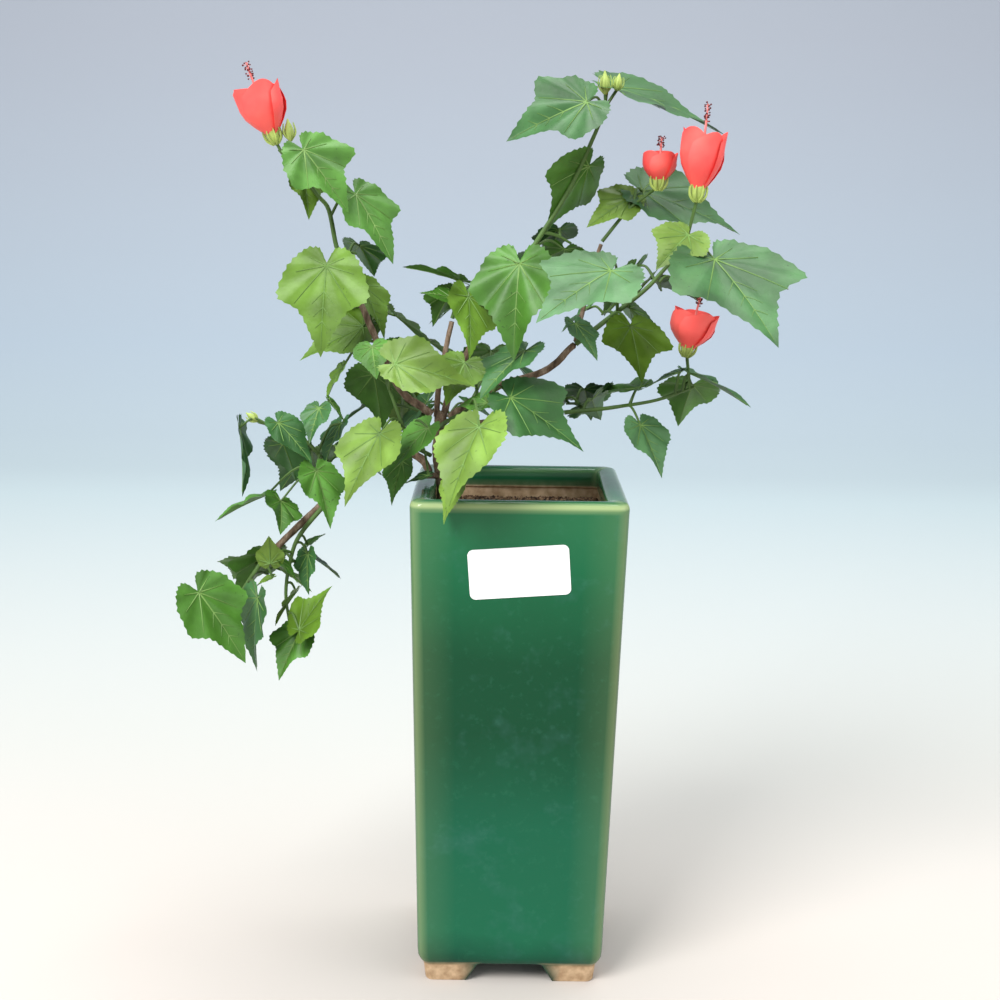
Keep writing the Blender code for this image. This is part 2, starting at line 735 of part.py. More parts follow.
def rule_leaf(rng, start, twig, share, side):
    """A leaf of a side twig: alternate, smaller to the twig's tip, and hanging outwards."""
    length = spread(RULE_LENGTHS, share) * rng.uniform(0.85, 1.1)
    bearing = twig.bearing + side * RULE_SPREAD * rng.uniform(0.6, 1.2)
    stalk = way(bearing, rng.uniform(5.0, 40.0)) * RULE_STALK * length * rng.uniform(0.8, 1.3)
    base = start + stalk
    dip = rng.uniform(*RULE_DIPS)
    roll = rng.uniform(-20.0, 20.0)
    facing = bearing + rng.uniform(-20.0, 20.0)
    return Leaf(base.x, base.y, base.z, facing, dip, roll, length, rng.uniform(0.1, 0.8))


def twig_solids(rng, stem, twig, keep_clear, own, material):
    """A side twig and the leaves that its rule gives it, skipping those with no room."""
    start = point_at(stem, twig.along)
    ahead = way(twig.bearing, twig.rise) * twig.length
    points = [start, start + ahead * 0.5 + Vector((0.0, 0.0, 0.06 * twig.length)), start + ahead]
    bm = bmesh.new()
    add_tube(bm, points, [spread(TWIG_RADII, s) for s in (0.0, 0.5, 1.0)], 3)
    twig_solid = solid_object("twig", bm, material)
    if touches(keep_clear, twig_solid):
        remove_solids([twig_solid])
        return []
    solids = [twig_solid]
    route = list(zip(points, (0.0, 0.5, 1.0)))
    for i in range(twig.leaves):
        share = (i + 0.6) / twig.leaves
        side = 1 if i % 2 == 0 else -1
        for _ in range(RULE_TRIES):
            foot = point_at(route, min(share, 0.97))
            leaf = rule_leaf(rng, foot, twig, share, side)
            found = leaf_solids(foot, leaf, keep_clear, own, material)
            if found:
                solids += found
                own.append(tree_of(found[-1]))
                break
    return solids


def shown_solids(name, mass, stem, keep_clear, leaf_green, petal_red):
    """The stem, the leaves that have their own places, and the flowers."""
    bm = bmesh.new()
    add_tube(bm, [p for p, _ in stem], [spread(mass.radii, s) for _, s in stem], 4)
    solids = [solid_object(name, bm, leaf_green)]
    for leaf in mass.leaves:
        base = Vector((leaf.x, leaf.y, leaf.z))
        start = point_at(stem, nearest_share(stem, base))
        solids += leaf_solids(start, leaf, keep_clear, [], leaf_green)
    for bloom in mass.blooms:
        solids += bloom_solids(bloom, petal_red)
        solids.append(link_solid(point_at(stem, 0.97), bloom, leaf_green))
    return solids


def make_masses(limbs):
    """Every mass: first the leaves with places of their own, then the twigs grown by rule."""
    leaf_green = plain_material("leaf_green", LEAF_GREEN, 0.6)
    petal_red = plain_material("petal_red", PETAL_RED, 0.6)
    rng = random.Random(SEED)
    stems = {name: smooth_route(mass.route, 2) for name, mass in MASSES.items()}
    trees = {name: [tree_of(limb)] for name, limb in limbs.items()}
    solids = {}
    for name, mass in MASSES.items():
        others = [tree for key in trees for tree in trees[key]]
        solids[name] = shown_solids(name, mass, stems[name], others, leaf_green, petal_red)
        trees[name] = [tree_of(solid) for solid in solids[name]]
    for name, mass in MASSES.items():
        for twig in mass.twigs:
            others = [tree for key in trees if key != name for tree in trees[key]]
            own = list(trees[name])
            found = twig_solids(rng, stems[name], twig, others, own, leaf_green)
            solids[name] += found
            trees[name] += [tree_of(solid) for solid in found]
    for name in MASSES:
        join_by_union(name, solids[name], "MANIFOLD")


def main():
    clear_scene()
    pot = make_pot()
    soil = make_soil()
    bark = plain_material("bark", BARK_BROWN, 0.85)
    limbs = {name: make_limb(name, bark) for name in LIMBS}
    make_masses({**limbs, "pot": pot, "soil": soil})


main()
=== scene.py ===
"""Looks of the wax mallow bonsai: leaves, stems, flowers, bark, glazed pot, soil and label."""

import json
import math
import random
from collections import namedtuple

import bmesh
import bpy
from mathutils import Matrix, Vector, noise
from mathutils.bvhtree import BVHTree

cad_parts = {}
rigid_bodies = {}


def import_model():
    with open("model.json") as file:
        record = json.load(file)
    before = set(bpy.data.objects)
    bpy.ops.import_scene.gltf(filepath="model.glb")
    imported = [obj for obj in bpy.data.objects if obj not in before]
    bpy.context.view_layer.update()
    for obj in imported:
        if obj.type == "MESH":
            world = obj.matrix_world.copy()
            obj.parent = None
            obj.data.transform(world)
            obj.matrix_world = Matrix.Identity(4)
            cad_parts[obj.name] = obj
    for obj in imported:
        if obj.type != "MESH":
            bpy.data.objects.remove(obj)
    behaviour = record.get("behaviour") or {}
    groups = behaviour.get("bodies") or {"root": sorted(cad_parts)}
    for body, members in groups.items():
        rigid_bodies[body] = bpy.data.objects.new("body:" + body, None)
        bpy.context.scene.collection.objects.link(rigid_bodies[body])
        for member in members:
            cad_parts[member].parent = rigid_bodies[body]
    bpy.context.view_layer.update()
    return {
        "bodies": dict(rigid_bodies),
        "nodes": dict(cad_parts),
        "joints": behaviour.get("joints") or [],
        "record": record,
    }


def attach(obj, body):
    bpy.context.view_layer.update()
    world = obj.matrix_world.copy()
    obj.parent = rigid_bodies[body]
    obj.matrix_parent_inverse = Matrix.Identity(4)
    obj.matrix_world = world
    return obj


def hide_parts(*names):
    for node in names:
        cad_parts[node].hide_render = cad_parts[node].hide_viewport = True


# Lengths are in millimetres from the middle of the pot's foot, and angles in degrees
MM = 0.001
SEED = 24
BODY = "root"

# The pot's place in the part's frame
POT_AT = Vector((12.5, -2.5, 0.0))

# Camera
CAMERA_AT = (-6.8, -665.7, 339.3)
CAMERA_PITCH = 11.28
CAMERA_ROLL = 0.78
CAMERA_LENS = 56.4
CAMERA_SENSOR = 36.0

# Pot
POT_HEIGHT = 214.5
POT_TOP_WIDTH = 90.0
POT_BASE_WIDTH = 80.0
POT_LEAN = 1.3
POT_CORNER = 5.0
FOOT_HEIGHT = 9.0
FOOT_INSET = 3.4
ARCH_BOTTOM = 37.4
ARCH_TOP = 25.4
LIP_WIDTH = 9.2
LIP_DEPTH = 9.5
LIP_OVERHANG = 1.2
FLOOR_TOP = 16.0
FLOOR_HALF = 32.5
INNER_CORNER = 3.0
CORNER_STEPS = 8
FLAT_STEPS = 6
WALL_ROWS = 20
# How pale the corners are painted: thin glaze and a painted highlight
CORNER_THIN_GLAZE_AND_HIGHLIGHT = 0.40
LABEL_SIZE = (41.5, 21.0)
LABEL_CORNER = 2.4
LABEL_AT = (1.5, 185.4)
LABEL_TURN = -4.2
LABEL_STEPS = 6
LABEL_LAYERS = (0.06, 0.22)

# Soil, its grains, and dry leaves: place, bearing, length, and the roll's radius as a share of it
SOIL_TOP = 202.0
BED_STEPS = 40
GRAINS = 1100
GRAIN_SIZES = (0.35, 0.95)
CURLS = (
    (-13.0, -6.0, 20.0, 13.0, 0.17),
    (-4.0, 7.0, 150.0, 11.0, 0.20),
    (3.0, -12.0, 75.0, 9.0, 0.18),
    (20.0, 12.0, 40.0, 8.0, 0.16),
)
CURL_ROWS = 8
CURL_COLUMNS = 6
CURL_SPAN = 220

# Leaf blade, as shares of its length
BLADE_WIDTH = 0.95
BLADE_FOLD = 0.10
BLADE_ARCH = 0.12
STALK_SINK = 0.03
STALK_RISE = 0.25
STALK_RADII = (0.75, 0.55, 0.5)
HEART = (0.03, 0.0)
BLADE_MIDDLE = 0.3

# Corners of half the outline: along, out, and what a full lobe adds to each
HALF_OUTLINE = (
    (-0.16, 0.11, 0.00, 0.00),
    (-0.10, 0.29, 0.00, 0.00),
    (0.10, 0.41, 0.00, 0.06),
    (0.34, 0.42, 0.08, 0.17),
    (0.52, 0.28, 0.00, 0.02),
    (0.76, 0.13, 0.00, 0.00),
)
OUTLINE_STEPS = 6
INNER_RINGS = (0.32, 0.62, 0.84)
TOOTH = 0.016
TOOTH_SWINGS = (-0.6, 1.0)
TOOTH_RANGE = (0.4, 1.3)

# Pleats between the veins, and waves of the edge
PLEAT_TURN = 18.0
PLEAT_RISE = 0.045
EDGE_WAVE = 0.035
EDGE_RATE = 0.16

# Main veins: turn from the midrib and reach; those that run into the lobes grow with them
LOBE_TURN = 36.0
LOBE_GAIN = 0.42
VEINS = ((0.0, 0.90), (LOBE_TURN, 0.42), (-LOBE_TURN, 0.42), (74.0, 0.33), (-74.0, 0.33),
         (112.0, 0.21), (-112.0, 0.21))
VEIN_WIDTH = 0.34
VEIN_STEPS = 5
VEIN_TAPER = 0.75
VEIN_RIDGE = 0.22
VEIN_RIM = 0.02
VEIN_LIFT = 0.06

# Side veins: places along the midrib
SIDE_VEINS = (0.30, 0.48, 0.64)
SIDE_VEIN_SPAN = 0.93
SIDE_VEIN_TURN = 42.0
SIDE_VEIN_REACH = 0.24
SIDE_VEIN_SIZE = 0.55

# Side twigs and their leaves
TWIG_RADII = (0.9, 0.5)
RULE_LENGTHS = (34.0, 17.0)
RULE_STALK = 0.38
RULE_SPREAD = 62.0
RULE_DIPS = (24.0, 52.0)
RULE_TRIES = 8
LAST_SHARE = 0.97

# Flowers: profiles are shares of the bloom's width, and the calyx's rings are height and radius
BLOOM_STALK = 0.7
PETALS = 5
PETAL_STEPS = 12
PETAL_PROFILE = (0.16, 0.34, 0.66, 0.90, 1.0, 1.0, 0.97)
PETAL_SPAN = 112.0
PETAL_TWIST = 34.0
PETAL_LAYER = 0.16
PETAL_CROWN = 0.16
COLUMN_REACH = 1.36
COLUMN_SHARES = (0.3, 0.6, 0.85, 1.0)
COLUMN_RADII = (0.6, 0.5, 0.45, 0.3)
ANTHERS = 26
ANTHER_TURN = 2.4
CALYX_TALL = 7.5
CALYX_SINK = 1.5
CALYX_SIDES = 20
CALYX_RINGS = ((0.0, 0.9), (0.15, 2.2), (0.5, 2.7), (0.8, 3.0), (1.0, 3.2))
BRACTS = 8
BRACT_ROUTE = ((1.2, 0.0), (3.4, 2.2), (3.9, 5.4), (3.1, 7.2))
BUD_SIDES = 15
BUD_PROFILE = (0.35, 0.85, 1.0, 0.92, 0.7, 0.35, 0.08)
BUD_BRACTS = 6

# Bark
BARK_STEPS = 14
BARK_SIDES = 18
BARK_SWELL = 1.04
BARK_RELIEF = 0.16
FINE_RELIEF = 0.10

# Stage in metres: a floor that bends up into a wall, and the lights' places, powers and sizes
STAGE_HALF = 4.0
STAGE_FRONT = -3.0
BEND_START = 1.2
BEND_RADIUS = 0.8
BEND_STEPS = 8
WALL_TOP = 4.0
STAGE_REACH = 2.6
AIM = Vector((0.0, 0.0, 0.22))
LIGHTS = (
    ("key", (-0.8, -1.1, 1.5), 48.0, 0.9),
    ("fill", (1.3, -0.8, 0.9), 9.0, 1.4),
    ("top", (0.2, 0.3, 1.9), 30.0, 1.2),
)

# Leaf tints, from dark to yellowish green
TINTS = {
    "d": ("dark", (0.026, 0.095, 0.020)),
    "b": ("bluish", (0.052, 0.135, 0.045)),
    "m": ("middle", (0.050, 0.150, 0.014)),
    "o": ("olive", (0.085, 0.175, 0.010)),
    "y": ("yellowish", (0.110, 0.195, 0.023)),
}
RULE_TINTS = "dmbmo"

Leaf = namedtuple("Leaf", "x y z bearing dip roll length lobe tint")
Twig = namedtuple("Twig", "along bearing rise length leaves")
Bloom = namedtuple("Bloom", "x y z bearing rise length wide open")
Mass = namedtuple("Mass", "route radii leaves twigs blooms", defaults=((), ()))

# Limbs: points along the middle, and the radius at each
LIMBS = {
    "trunk": (
        ((-30.6, 0, 202.3), (-31.2, 0, 206), (-32.2, 0.5, 214), (-34.2, 1, 226), (-33.4, 0.5, 236),
         (-32.8, 0, 242)),
        (3.4, 2.6, 2.2, 2.0, 2.0, 2.6),
    ),
    "bough_left_lower": (
        ((-36.6, -0.5, 243.6), (-41, -1, 247), (-48, -2, 252), (-54.5, -2, 262), (-58.6, -2, 272)),
        (1.7, 1.6, 1.5, 1.45, 1.4),
    ),
    "bough_left_upper": (
        ((-59.1, -2, 273.0), (-66, -1, 289), (-73.6, 0, 307)),
        (1.35, 1.25, 1.15),
    ),
    "bough_centre": (
        ((-34.5, -1.5, 243.0), (-33.5, -4, 256), (-31, -7, 270), (-28, -8, 284)),
        (1.2, 1.15, 1.05, 1.0),
    ),
    "bough_middle": (
        ((-31.6, 2.0, 242.9), (-27, 6, 258), (-14, 10, 284), (4.5, 12, 312)),
        (1.5, 1.4, 1.3, 1.2),
    ),
    "bough_right": (
        ((-28.9, -0.5, 242.5), (-22, -1, 248), (-7, 0, 256.5), (12, 0, 263.2), (23, 0, 273.5)),
        (1.5, 1.5, 1.45, 1.4, 1.3),
    ),
    "bough_right_upper": (
        ((24.5, 2.9, 275.4), (28, 9, 290), (31, 12, 304), (35, 14, 316)),
        (0.95, 0.9, 0.85, 0.8),
    ),
    "bough_low_right": (
        ((-29.4, 1.5, 238.0), (-18, 3, 239.5), (0, 4, 242), (19, 4, 244.4)),
        (1.2, 1.15, 1.1, 1.05),
    ),
    "bough_cascade_upper": (
        ((-37.3, 1.5, 218.0), (-41.5, 2.5, 224), (-52, 4, 228), (-65, 4, 222), (-77.5, 3, 209.5)),
        (1.5, 1.7, 1.7, 1.65, 1.6),
    ),
    "bough_cascade_lower": (
        ((-78.5, 2.9, 208.6), (-88, 2, 199.5), (-101, 1, 187), (-110, 0, 177.8)),
        (1.6, 1.5, 1.4, 1.3),
    ),
}
# A cut stub from its foot to its end, with its radius
STUB = ((-33.2, -0.5, 217.0), (-39.6, -7.0, 218.0), 1.2)

# Knots where limbs fork or meet: place and radius
KNOTS = (
    ((-32.8, 0, 242), 3.1),
    ((-32.6, -1, 219), 2.5),
    ((23.2, 0, 273.6), 1.7),
    ((-78.0, 3, 209.2), 2.2),
    ((-110.4, 0, 177.3), 1.8),
    ((-58.9, -2, 272.5), 1.7),
)

# Masses of foliage: the stem's route and radii, its leaves, side twigs and blooms
MASSES = {
    "foliage_left_crown": Mass(
        ((-74.0, 0, 308.2), (-77.0, 0, 314.5), (-80, 0, 329), (-84.5, 0, 335), (-93, -3, 346),
         (-100.0, -4, 353.5)),
        (1.1, 0.7),
        (
            Leaf(-89.7, -9, 354, 345, 47, -38, 32, 0.9, "m"),
            Leaf(-91, 3, 345, 300, 62, 10, 21, 0.2, "o"),
            Leaf(-69.4, 2, 336.5, 337, 53, -15, 34, 0.6, "m"),
            Leaf(-79.5, -14, 308, 256, 74, 3, 39, 0.6, "o"),
        ),
        (Twig(0.15, 20, -10, 8, 1),),
        (Bloom(-101.5, -4, 357, 190, 70, 24, 10, True), Bloom(-95.0, -4, 357, 200, 82, 9, 2.6, False)),
    ),
    "foliage_left_shoulder": Mass(
        ((-58.8, 0.4, 272.6), (-62, 5, 276), (-66, 9, 284), (-69, 12, 292)),
        (1.0, 0.6),
        (
            Leaf(-67.6, 12, 298, 330, 55, -5, 26, 0.3, "o"),
            Leaf(-66, 13, 280, 195, 22, 32, 32, 0.5, "o"),
            Leaf(-75, 6, 263, 200, 55, 0, 16, 0.3, "o"),
            Leaf(-62, 5, 260.5, 80, 55, 3, 31, 0.4, "m"),
        ),
        (Twig(0.5, 75, 0, 18, 3),),
    ),
    "foliage_left_front": Mass(
        ((-37.0, -1.6, 226.0), (-45, -11, 233), (-50, -15, 246), (-55, -13, 259)),
        (1.0, 0.6),
        (
            Leaf(-56, -30, 240.5, 228, 50, 4, 35, 0.5, "y"),
            Leaf(-36.5, -24, 242, 201, 44, 16, 24, 0.1, "m"),
            Leaf(-48, -14, 226, 230, 64, -6, 20, 0.4, "m"),
            Leaf(-51, -34, 269, 8, 11, -38, 36, 0.3, "y"),
            Leaf(-61, -13, 274, 280, 33, -13, 20, 0.0, "m"),
            Leaf(-36.2, -27, 222, 180, 15, 10, 11, 0.3, "d"),
        ),
    ),
    "foliage_centre_front": Mass(
        ((-33.0, -3.4, 238.5), (-29, -14, 243), (-20, -22, 249), (-8, -20, 256)),
        (1.1, 0.6),
        (
            Leaf(-15, -50, 247, 240, 45, -7, 40, 0.0, "y"),
            Leaf(-23.5, -47, 226, 213, 66, 0, 21, 0.2, "y"),
            Leaf(-4, -36, 256.5, 340, 28, -25, 38, 0.9, "d"),
            Leaf(-12, -30, 253, 165, 5, 28, 15, 0.3, "m"),
            Leaf(-22, -14, 268, 250, 34, 18, 25, 0.0, "o"),
            Leaf(3, -22, 274, 225, 28, -5, 32, 0.3, "d"),
        ),
    ),
    "foliage_centre_top": Mass(
        ((-27.8, -8, 285.4), (-25, -9, 292), (-16, -12, 298), (-6, -15, 303)),
        (0.9, 0.55),
        (
            Leaf(-21, -20, 296, 280, 55, 38, 29, 0.5, "o"),
            Leaf(0, -18, 310, 254, 68, -7, 41, 0.5, "m"),
            Leaf(-24.5, -4, 300.5, 182, -20, -12, 25, 0.2, "m"),
            Leaf(-28, -8, 294, 190, -12, 25, 14, 0.3, "m"),
        ),
        (Twig(0.3, 80, 0, 18, 3),),
    ),
    "foliage_top": Mass(
        ((5.2, 12, 313.3), (20.5, 12, 338.5), (31, 9, 362), (35.4, 7, 374)),
        (1.1, 0.7),
        (
            Leaf(27.5, -4, 374.5, 198, 20, 42, 38, 0.6, "d"),
            Leaf(38, 19, 382, 358, 17, -15, 53, 0.3, "d"),
            Leaf(29.5, 14, 349.5, 176, 54, -36, 35, 0.8, "m"),
            Leaf(19.6, 17, 314, 92, 33, -14, 24, 0.2, "m"),
        ),
        (Twig(0.10, 20, -20, 14, 1),),
        (Bloom(34.6, 6, 378, 180, 88, 9.5, 2.6, False), Bloom(39.5, 7, 379.5, 0, 82, 7, 2.2, False)),
    ),
    "foliage_right_upper": Mass(
        ((35.4, 14.1, 317.2), (46, 13, 330.5), (55, 10, 338)),
        (0.8, 0.55),
        (
            Leaf(48, 18, 336, 200, 28, 34, 24, 0.6, "y"),
            Leaf(51.6, 25, 339, 357, 17, -30, 48, 0.4, "d"),
        ),
        (),
        (Bloom(58, 6, 340.5, 20, 88, 15, 7.5, True),),
    ),
    "foliage_right": Mass(
        ((24.4, -0.3, 274.5), (37.4, 0, 285), (53, 0, 297.6), (61.5, 0, 307), (70, -2, 316.5)),
        (1.2, 0.7),
        (
            Leaf(37, -36, 308, 220, 22, 18, 44, 0.8, "b"),
            Leaf(23.5, -6, 284, 315, 43, 3, 20, 0.3, "b"),
            Leaf(70, -8, 321.5, 232, 27, 25, 27, 0.4, "y"),
            Leaf(79, -17, 312.5, 299, 32, -7, 55, 1.0, "d"),
            Leaf(46.5, -11, 284, 60, 58, 0, 29, 1.0, "o"),
        ),
        (Twig(0.3, 100, -5, 22, 3), Twig(0.6, 75, -15, 20, 3)),
        (Bloom(73, -7, 336, 20, 85, 28, 9.5, True),),
    ),
    "foliage_low_right": Mass(
        ((20.4, 4, 244.6), (32, 3, 246), (44, 2, 247.8), (60, 1, 251), (75.5, 0, 256.8)),
        (1.0, 0.6),
        (
            Leaf(53, 5, 255.5, 140, 5, 12, 24, 0.3, "m"),
            Leaf(69, -6, 264, 173, 21, 0, 17.5, 0.3, "d"),
            Leaf(76, 9, 257, 97, 36, -7, 31, 0.2, "m"),
            Leaf(72.5, -1, 263, 352, 21, 4, 30.5, 0.3, "d"),
            Leaf(32.4, 9, 250, 83, 20, 39, 29, 0.1, "d"),
            Leaf(52, -8, 242, 305, 46, 0, 26, 0.2, "b"),
        ),
        (Twig(0.2, 110, 0, 22, 3),),
        (Bloom(71.2, -3, 271.5, 5, 78, 19, 10, True),),
    ),
    "foliage_cascade_top": Mass(
        ((-78.4, 1.0, 211.6), (-81, -2, 219), (-88, -4, 230), (-99, -5, 237), (-110, -6, 240)),
        (1.0, 0.6),
        (
            Leaf(-118, -8, 238.5, 330, 78, 32, 30, 0.3, "d"),
            Leaf(-100, -20, 242.5, 340, 42, -16, 23, 0.2, "d"),
            Leaf(-83, -14, 248, 249, 47, -6, 17, 0.1, "d"),
            Leaf(-80, -6, 250, 355, 50, 2, 13, 0.2, "m"),
            Leaf(-75, -3, 240, 230, 50, -20, 21, 0.4, "d"),
            Leaf(-101, 2, 230, 73, 50, 4, 24, 0.2, "d"),
            Leaf(-84, -22, 223, 309, 55, 6, 26, 0.3, "m"),
            Leaf(-100.5, -9, 207, 282, 24, 33, 21.5, 0.2, "m"),
            Leaf(-107, -3, 208, 190, 18, -7, 25, 0.2, "m"),
        ),
        (Twig(0.3, 75, 5, 18, 3),),
        (Bloom(-110.5, -6, 240.5, 170, 35, 6, 2, False),),
    ),
    "foliage_cascade_side": Mass(
        ((-79.3, -0.4, 207.4), (-93, -4, 191), (-97.5, -4, 179), (-99.5, -5, 165), (-98, -6, 152)),
        (1.1, 0.6),
        (
            Leaf(-101.5, -10, 181, 350, 44, 5, 13.5, 0.2, "m"),
            Leaf(-90, -2, 182.5, 256, 72, -35, 18.5, 0.2, "d"),
            Leaf(-91, 3, 184.5, 25, -35, 3, 10, 0.2, "m"),
            Leaf(-95, -2, 165, 190, 51, -18, 18, 0.2, "y"),
            Leaf(-92.5, -18, 151.5, 8, -58, -27, 24.5, 0.9, "o"),
            Leaf(-92.5, -9, 150, 225, 52, 10, 24, 0.6, "m"),
            Leaf(-104.7, -14, 180, 275, -71, 1, 15, 0.0, "y"),
        ),
        (Twig(0.5, 80, -20, 16, 2),),
    ),
    "foliage_cascade_tip": Mass(
        ((-111.0, 0, 176.7), (-116, -1, 169.5), (-120.4, -2, 162.5)),
        (1.1, 0.7),
        (
            Leaf(-134.2, -24, 170.5, 350, 52, -32, 37, 0.4, "m"),
            Leaf(-110.5, -12, 165.5, 205, 80, 6, 34, 0.2, "d"),
            Leaf(-105, -4, 172, 200, 20, 0, 9, 0.2, "y"),
        ),
        (Twig(0.3, 75, -15, 16, 2),),
    ),
    "foliage_back_left": Mass(
        ((-36.6, 3.0, 233.5), (-40, 14, 240), (-48, 28, 252), (-55, 40, 266)),
        (1.1, 0.6),
        (),
        (Twig(0.4, 150, 5, 20, 3), Twig(0.9, 70, 10, 20, 3)),
    ),
    "foliage_back_middle": Mass(
        ((-33.4, 3.6, 229.0), (-28, 14, 236), (-20, 30, 246), (-12, 44, 262)),
        (1.1, 0.6),
        (),
        (Twig(0.4, 110, 0, 20, 3), Twig(0.9, 50, 10, 20, 3)),
    ),
    "foliage_back_right": Mass(
        ((-13.2, 12.4, 286.6), (-6, 22, 290), (6, 34, 297), (18, 44, 306)),
        (0.9, 0.55),
        (),
        (Twig(0.4, 130, 0, 18, 3), Twig(0.9, 50, -5, 20, 3)),
        (),
    ),
}


def world(point):
    """A place from the pot's foot, in metres of the part's frame."""
    return (Vector(point) + POT_AT) * MM


def way(bearing, rise):
    """The direction with this bearing round the vertical, and this rise above level."""
    turn = math.radians(bearing)
    lift = math.radians(rise)
    level = math.cos(lift)
    return Vector((math.cos(turn) * level, math.sin(turn) * level, math.sin(lift)))


def spread(values, share):
    """The value at a share of the way along an even list."""
    place = share * (len(values) - 1)
    i = min(int(place), len(values) - 2)
    return values[i] + (values[i + 1] - values[i]) * (place - i)


def smooth_route(points, steps):
    """Points of a Catmull-Rom curve through the given ones, with each one's share of the way."""
    knots = [Vector(p) for p in points]
    ends = [2 * knots[0] - knots[1]] + knots + [2 * knots[-1] - knots[-2]]
    found = []
    for i in range(len(knots) - 1):
        before, start, stop, after = ends[i : i + 4]
        for step in range(steps):
            t = step / steps
            bend = 2 * before - 5 * start + 4 * stop - after
            twist = 3 * start - before - 3 * stop + after
            point = (2 * start + (stop - before) * t + bend * t * t + twist * t**3) / 2
            found.append((point, (i + t) / (len(knots) - 1)))
    found.append((knots[-1], 1.0))
    return found


def point_at(route, share):
    for (start, low), (stop, high) in zip(route, route[1:]):
        if share <= high:
            return start.lerp(stop, (share - low) / (high - low))
    return route[-1][0]


def nearest_share(route, target):
    """Where a stalk leaves the route: a little before the point nearest its leaf."""
    found = min(route, key=lambda item: (item[0] - target).length)
    return max(found[1] - 0.08, 0.0)


def placed(name, data):
    """An object with this data, linked to the scene."""
    thing = bpy.data.objects.new(name, data)
    bpy.context.scene.collection.objects.link(thing)
    return thing


# Materials


class Graph:
    """A Principled material whose nodes are made and joined in one line each."""

    def __init__(self, name, roughness=0.5, specular=0.5):
        self.material = bpy.data.materials.new(name)
        self.material.use_nodes = True
        self.tree = self.material.node_tree
        self.shader = self.tree.nodes["Principled BSDF"]
        self.shader.inputs["Roughness"].default_value = roughness
        self.shader.inputs["Specular IOR Level"].default_value = specular

    def node(self, kind, inputs=None, **settings):
        made = self.tree.nodes.new(kind)
        for key, value in settings.items():
            setattr(made, key, value)
        for key, value in (inputs or {}).items():
            if hasattr(value, "is_output"):
                self.tree.links.new(value, made.inputs[key])
            else:
                made.inputs[key].default_value = value
        return made

    def place(self):
        return self.node("ShaderNodeTexCoord").outputs["Object"]

    def noise(self, scale, detail=3.0, roughness=0.5, vector=None):
        inputs = {"Scale": scale, "Detail": detail, "Roughness": roughness}
        inputs["Vector"] = vector or self.place()
        return self.node("ShaderNodeTexNoise", inputs).outputs["Fac"]

    def ramp(self, factor, stops):
        made = self.node("ShaderNodeValToRGB", {"Fac": factor})
        elements = made.color_ramp.elements
        while len(elements) < len(stops):
            elements.new(0.5)
        for element, (place, colour) in zip(elements, stops):
            element.position = place
            element.color = (*colour, 1.0)
        return made.outputs["Color"]

    def mix(self, factor, first, second):
        """An output mixed with another one or with a plain colour."""
        if not hasattr(second, "is_output"):
            second = (*second, 1.0)
        inputs = {0: factor, 6: first, 7: second}
        return self.node("ShaderNodeMix", inputs, data_type="RGBA").outputs[2]

    def range(self, value, low, high, to_low=0.0, to_high=1.0):
        inputs = {0: value, 1: low, 2: high, 3: to_low, 4: to_high}
        return self.node("ShaderNodeMapRange", inputs).outputs[0]

    def reckon(self, operation, first, second):
        return self.node("ShaderNodeMath", {0: first, 1: second}, operation=operation).outputs[0]

    def bump(self, height, strength, distance):
        made = self.node("ShaderNodeBump", {"Height": height, "Strength": strength, "Distance": distance})
        self.tree.links.new(made.outputs["Normal"], self.shader.inputs["Normal"])

    def colour(self, output):
        self.tree.links.new(output, self.shader.inputs["Base Color"])
        return self.material


def leaf_material(name, colour):
    graph = Graph(name, 0.48, 0.35)
    pale = tuple(min(c * 1.5 + 0.01, 1.0) for c in colour)
    deep = tuple(c * 0.72 for c in colour)
    base = graph.ramp(graph.noise(55.0), [(0.35, deep), (0.5, colour), (0.7, pale)])
    fleck = graph.range(graph.noise(700.0, 2.0), 0.70, 0.74)
    graph.bump(graph.noise(420.0, 4.0), 0.25, 0.0006)
    return graph.colour(graph.mix(fleck, base, tuple(c * 0.5 for c in colour)))


def plain(name, colour, roughness=0.6, scale=120.0, change=0.25, specular=0.4):
    """A base colour with soft patches that are darker and lighter by a share."""
    graph = Graph(name, roughness, specular)
    deep = tuple(c * (1 - change) for c in colour)
    pale = tuple(min(c * (1 + change), 1.0) for c in colour)
    return graph.colour(graph.ramp(graph.noise(scale), [(0.3, deep), (0.7, pale)]))


def petal_material():
    graph = Graph("petal", 0.5, 0.3)
    base = graph.ramp(graph.noise(60.0), [(0.3, (0.84, 0.060, 0.060)), (0.7, (0.93, 0.130, 0.110))])
    return graph.colour(base)


def bark_material():
    graph = Graph("bark", 0.85, 0.2)
    stretched = graph.node("ShaderNodeMapping", {"Vector": graph.place(), "Scale": (1.0, 1.0, 0.35)})
    streaks = graph.noise(420.0, 6.0, 0.65, stretched.outputs["Vector"])
    colour = graph.ramp(streaks, [(0.30, (0.045, 0.028, 0.018)), (0.52, (0.17, 0.115, 0.075)),
                                  (0.75, (0.36, 0.28, 0.21))])
    graph.bump(streaks, 0.6, 0.001)
    return graph.colour(colour)


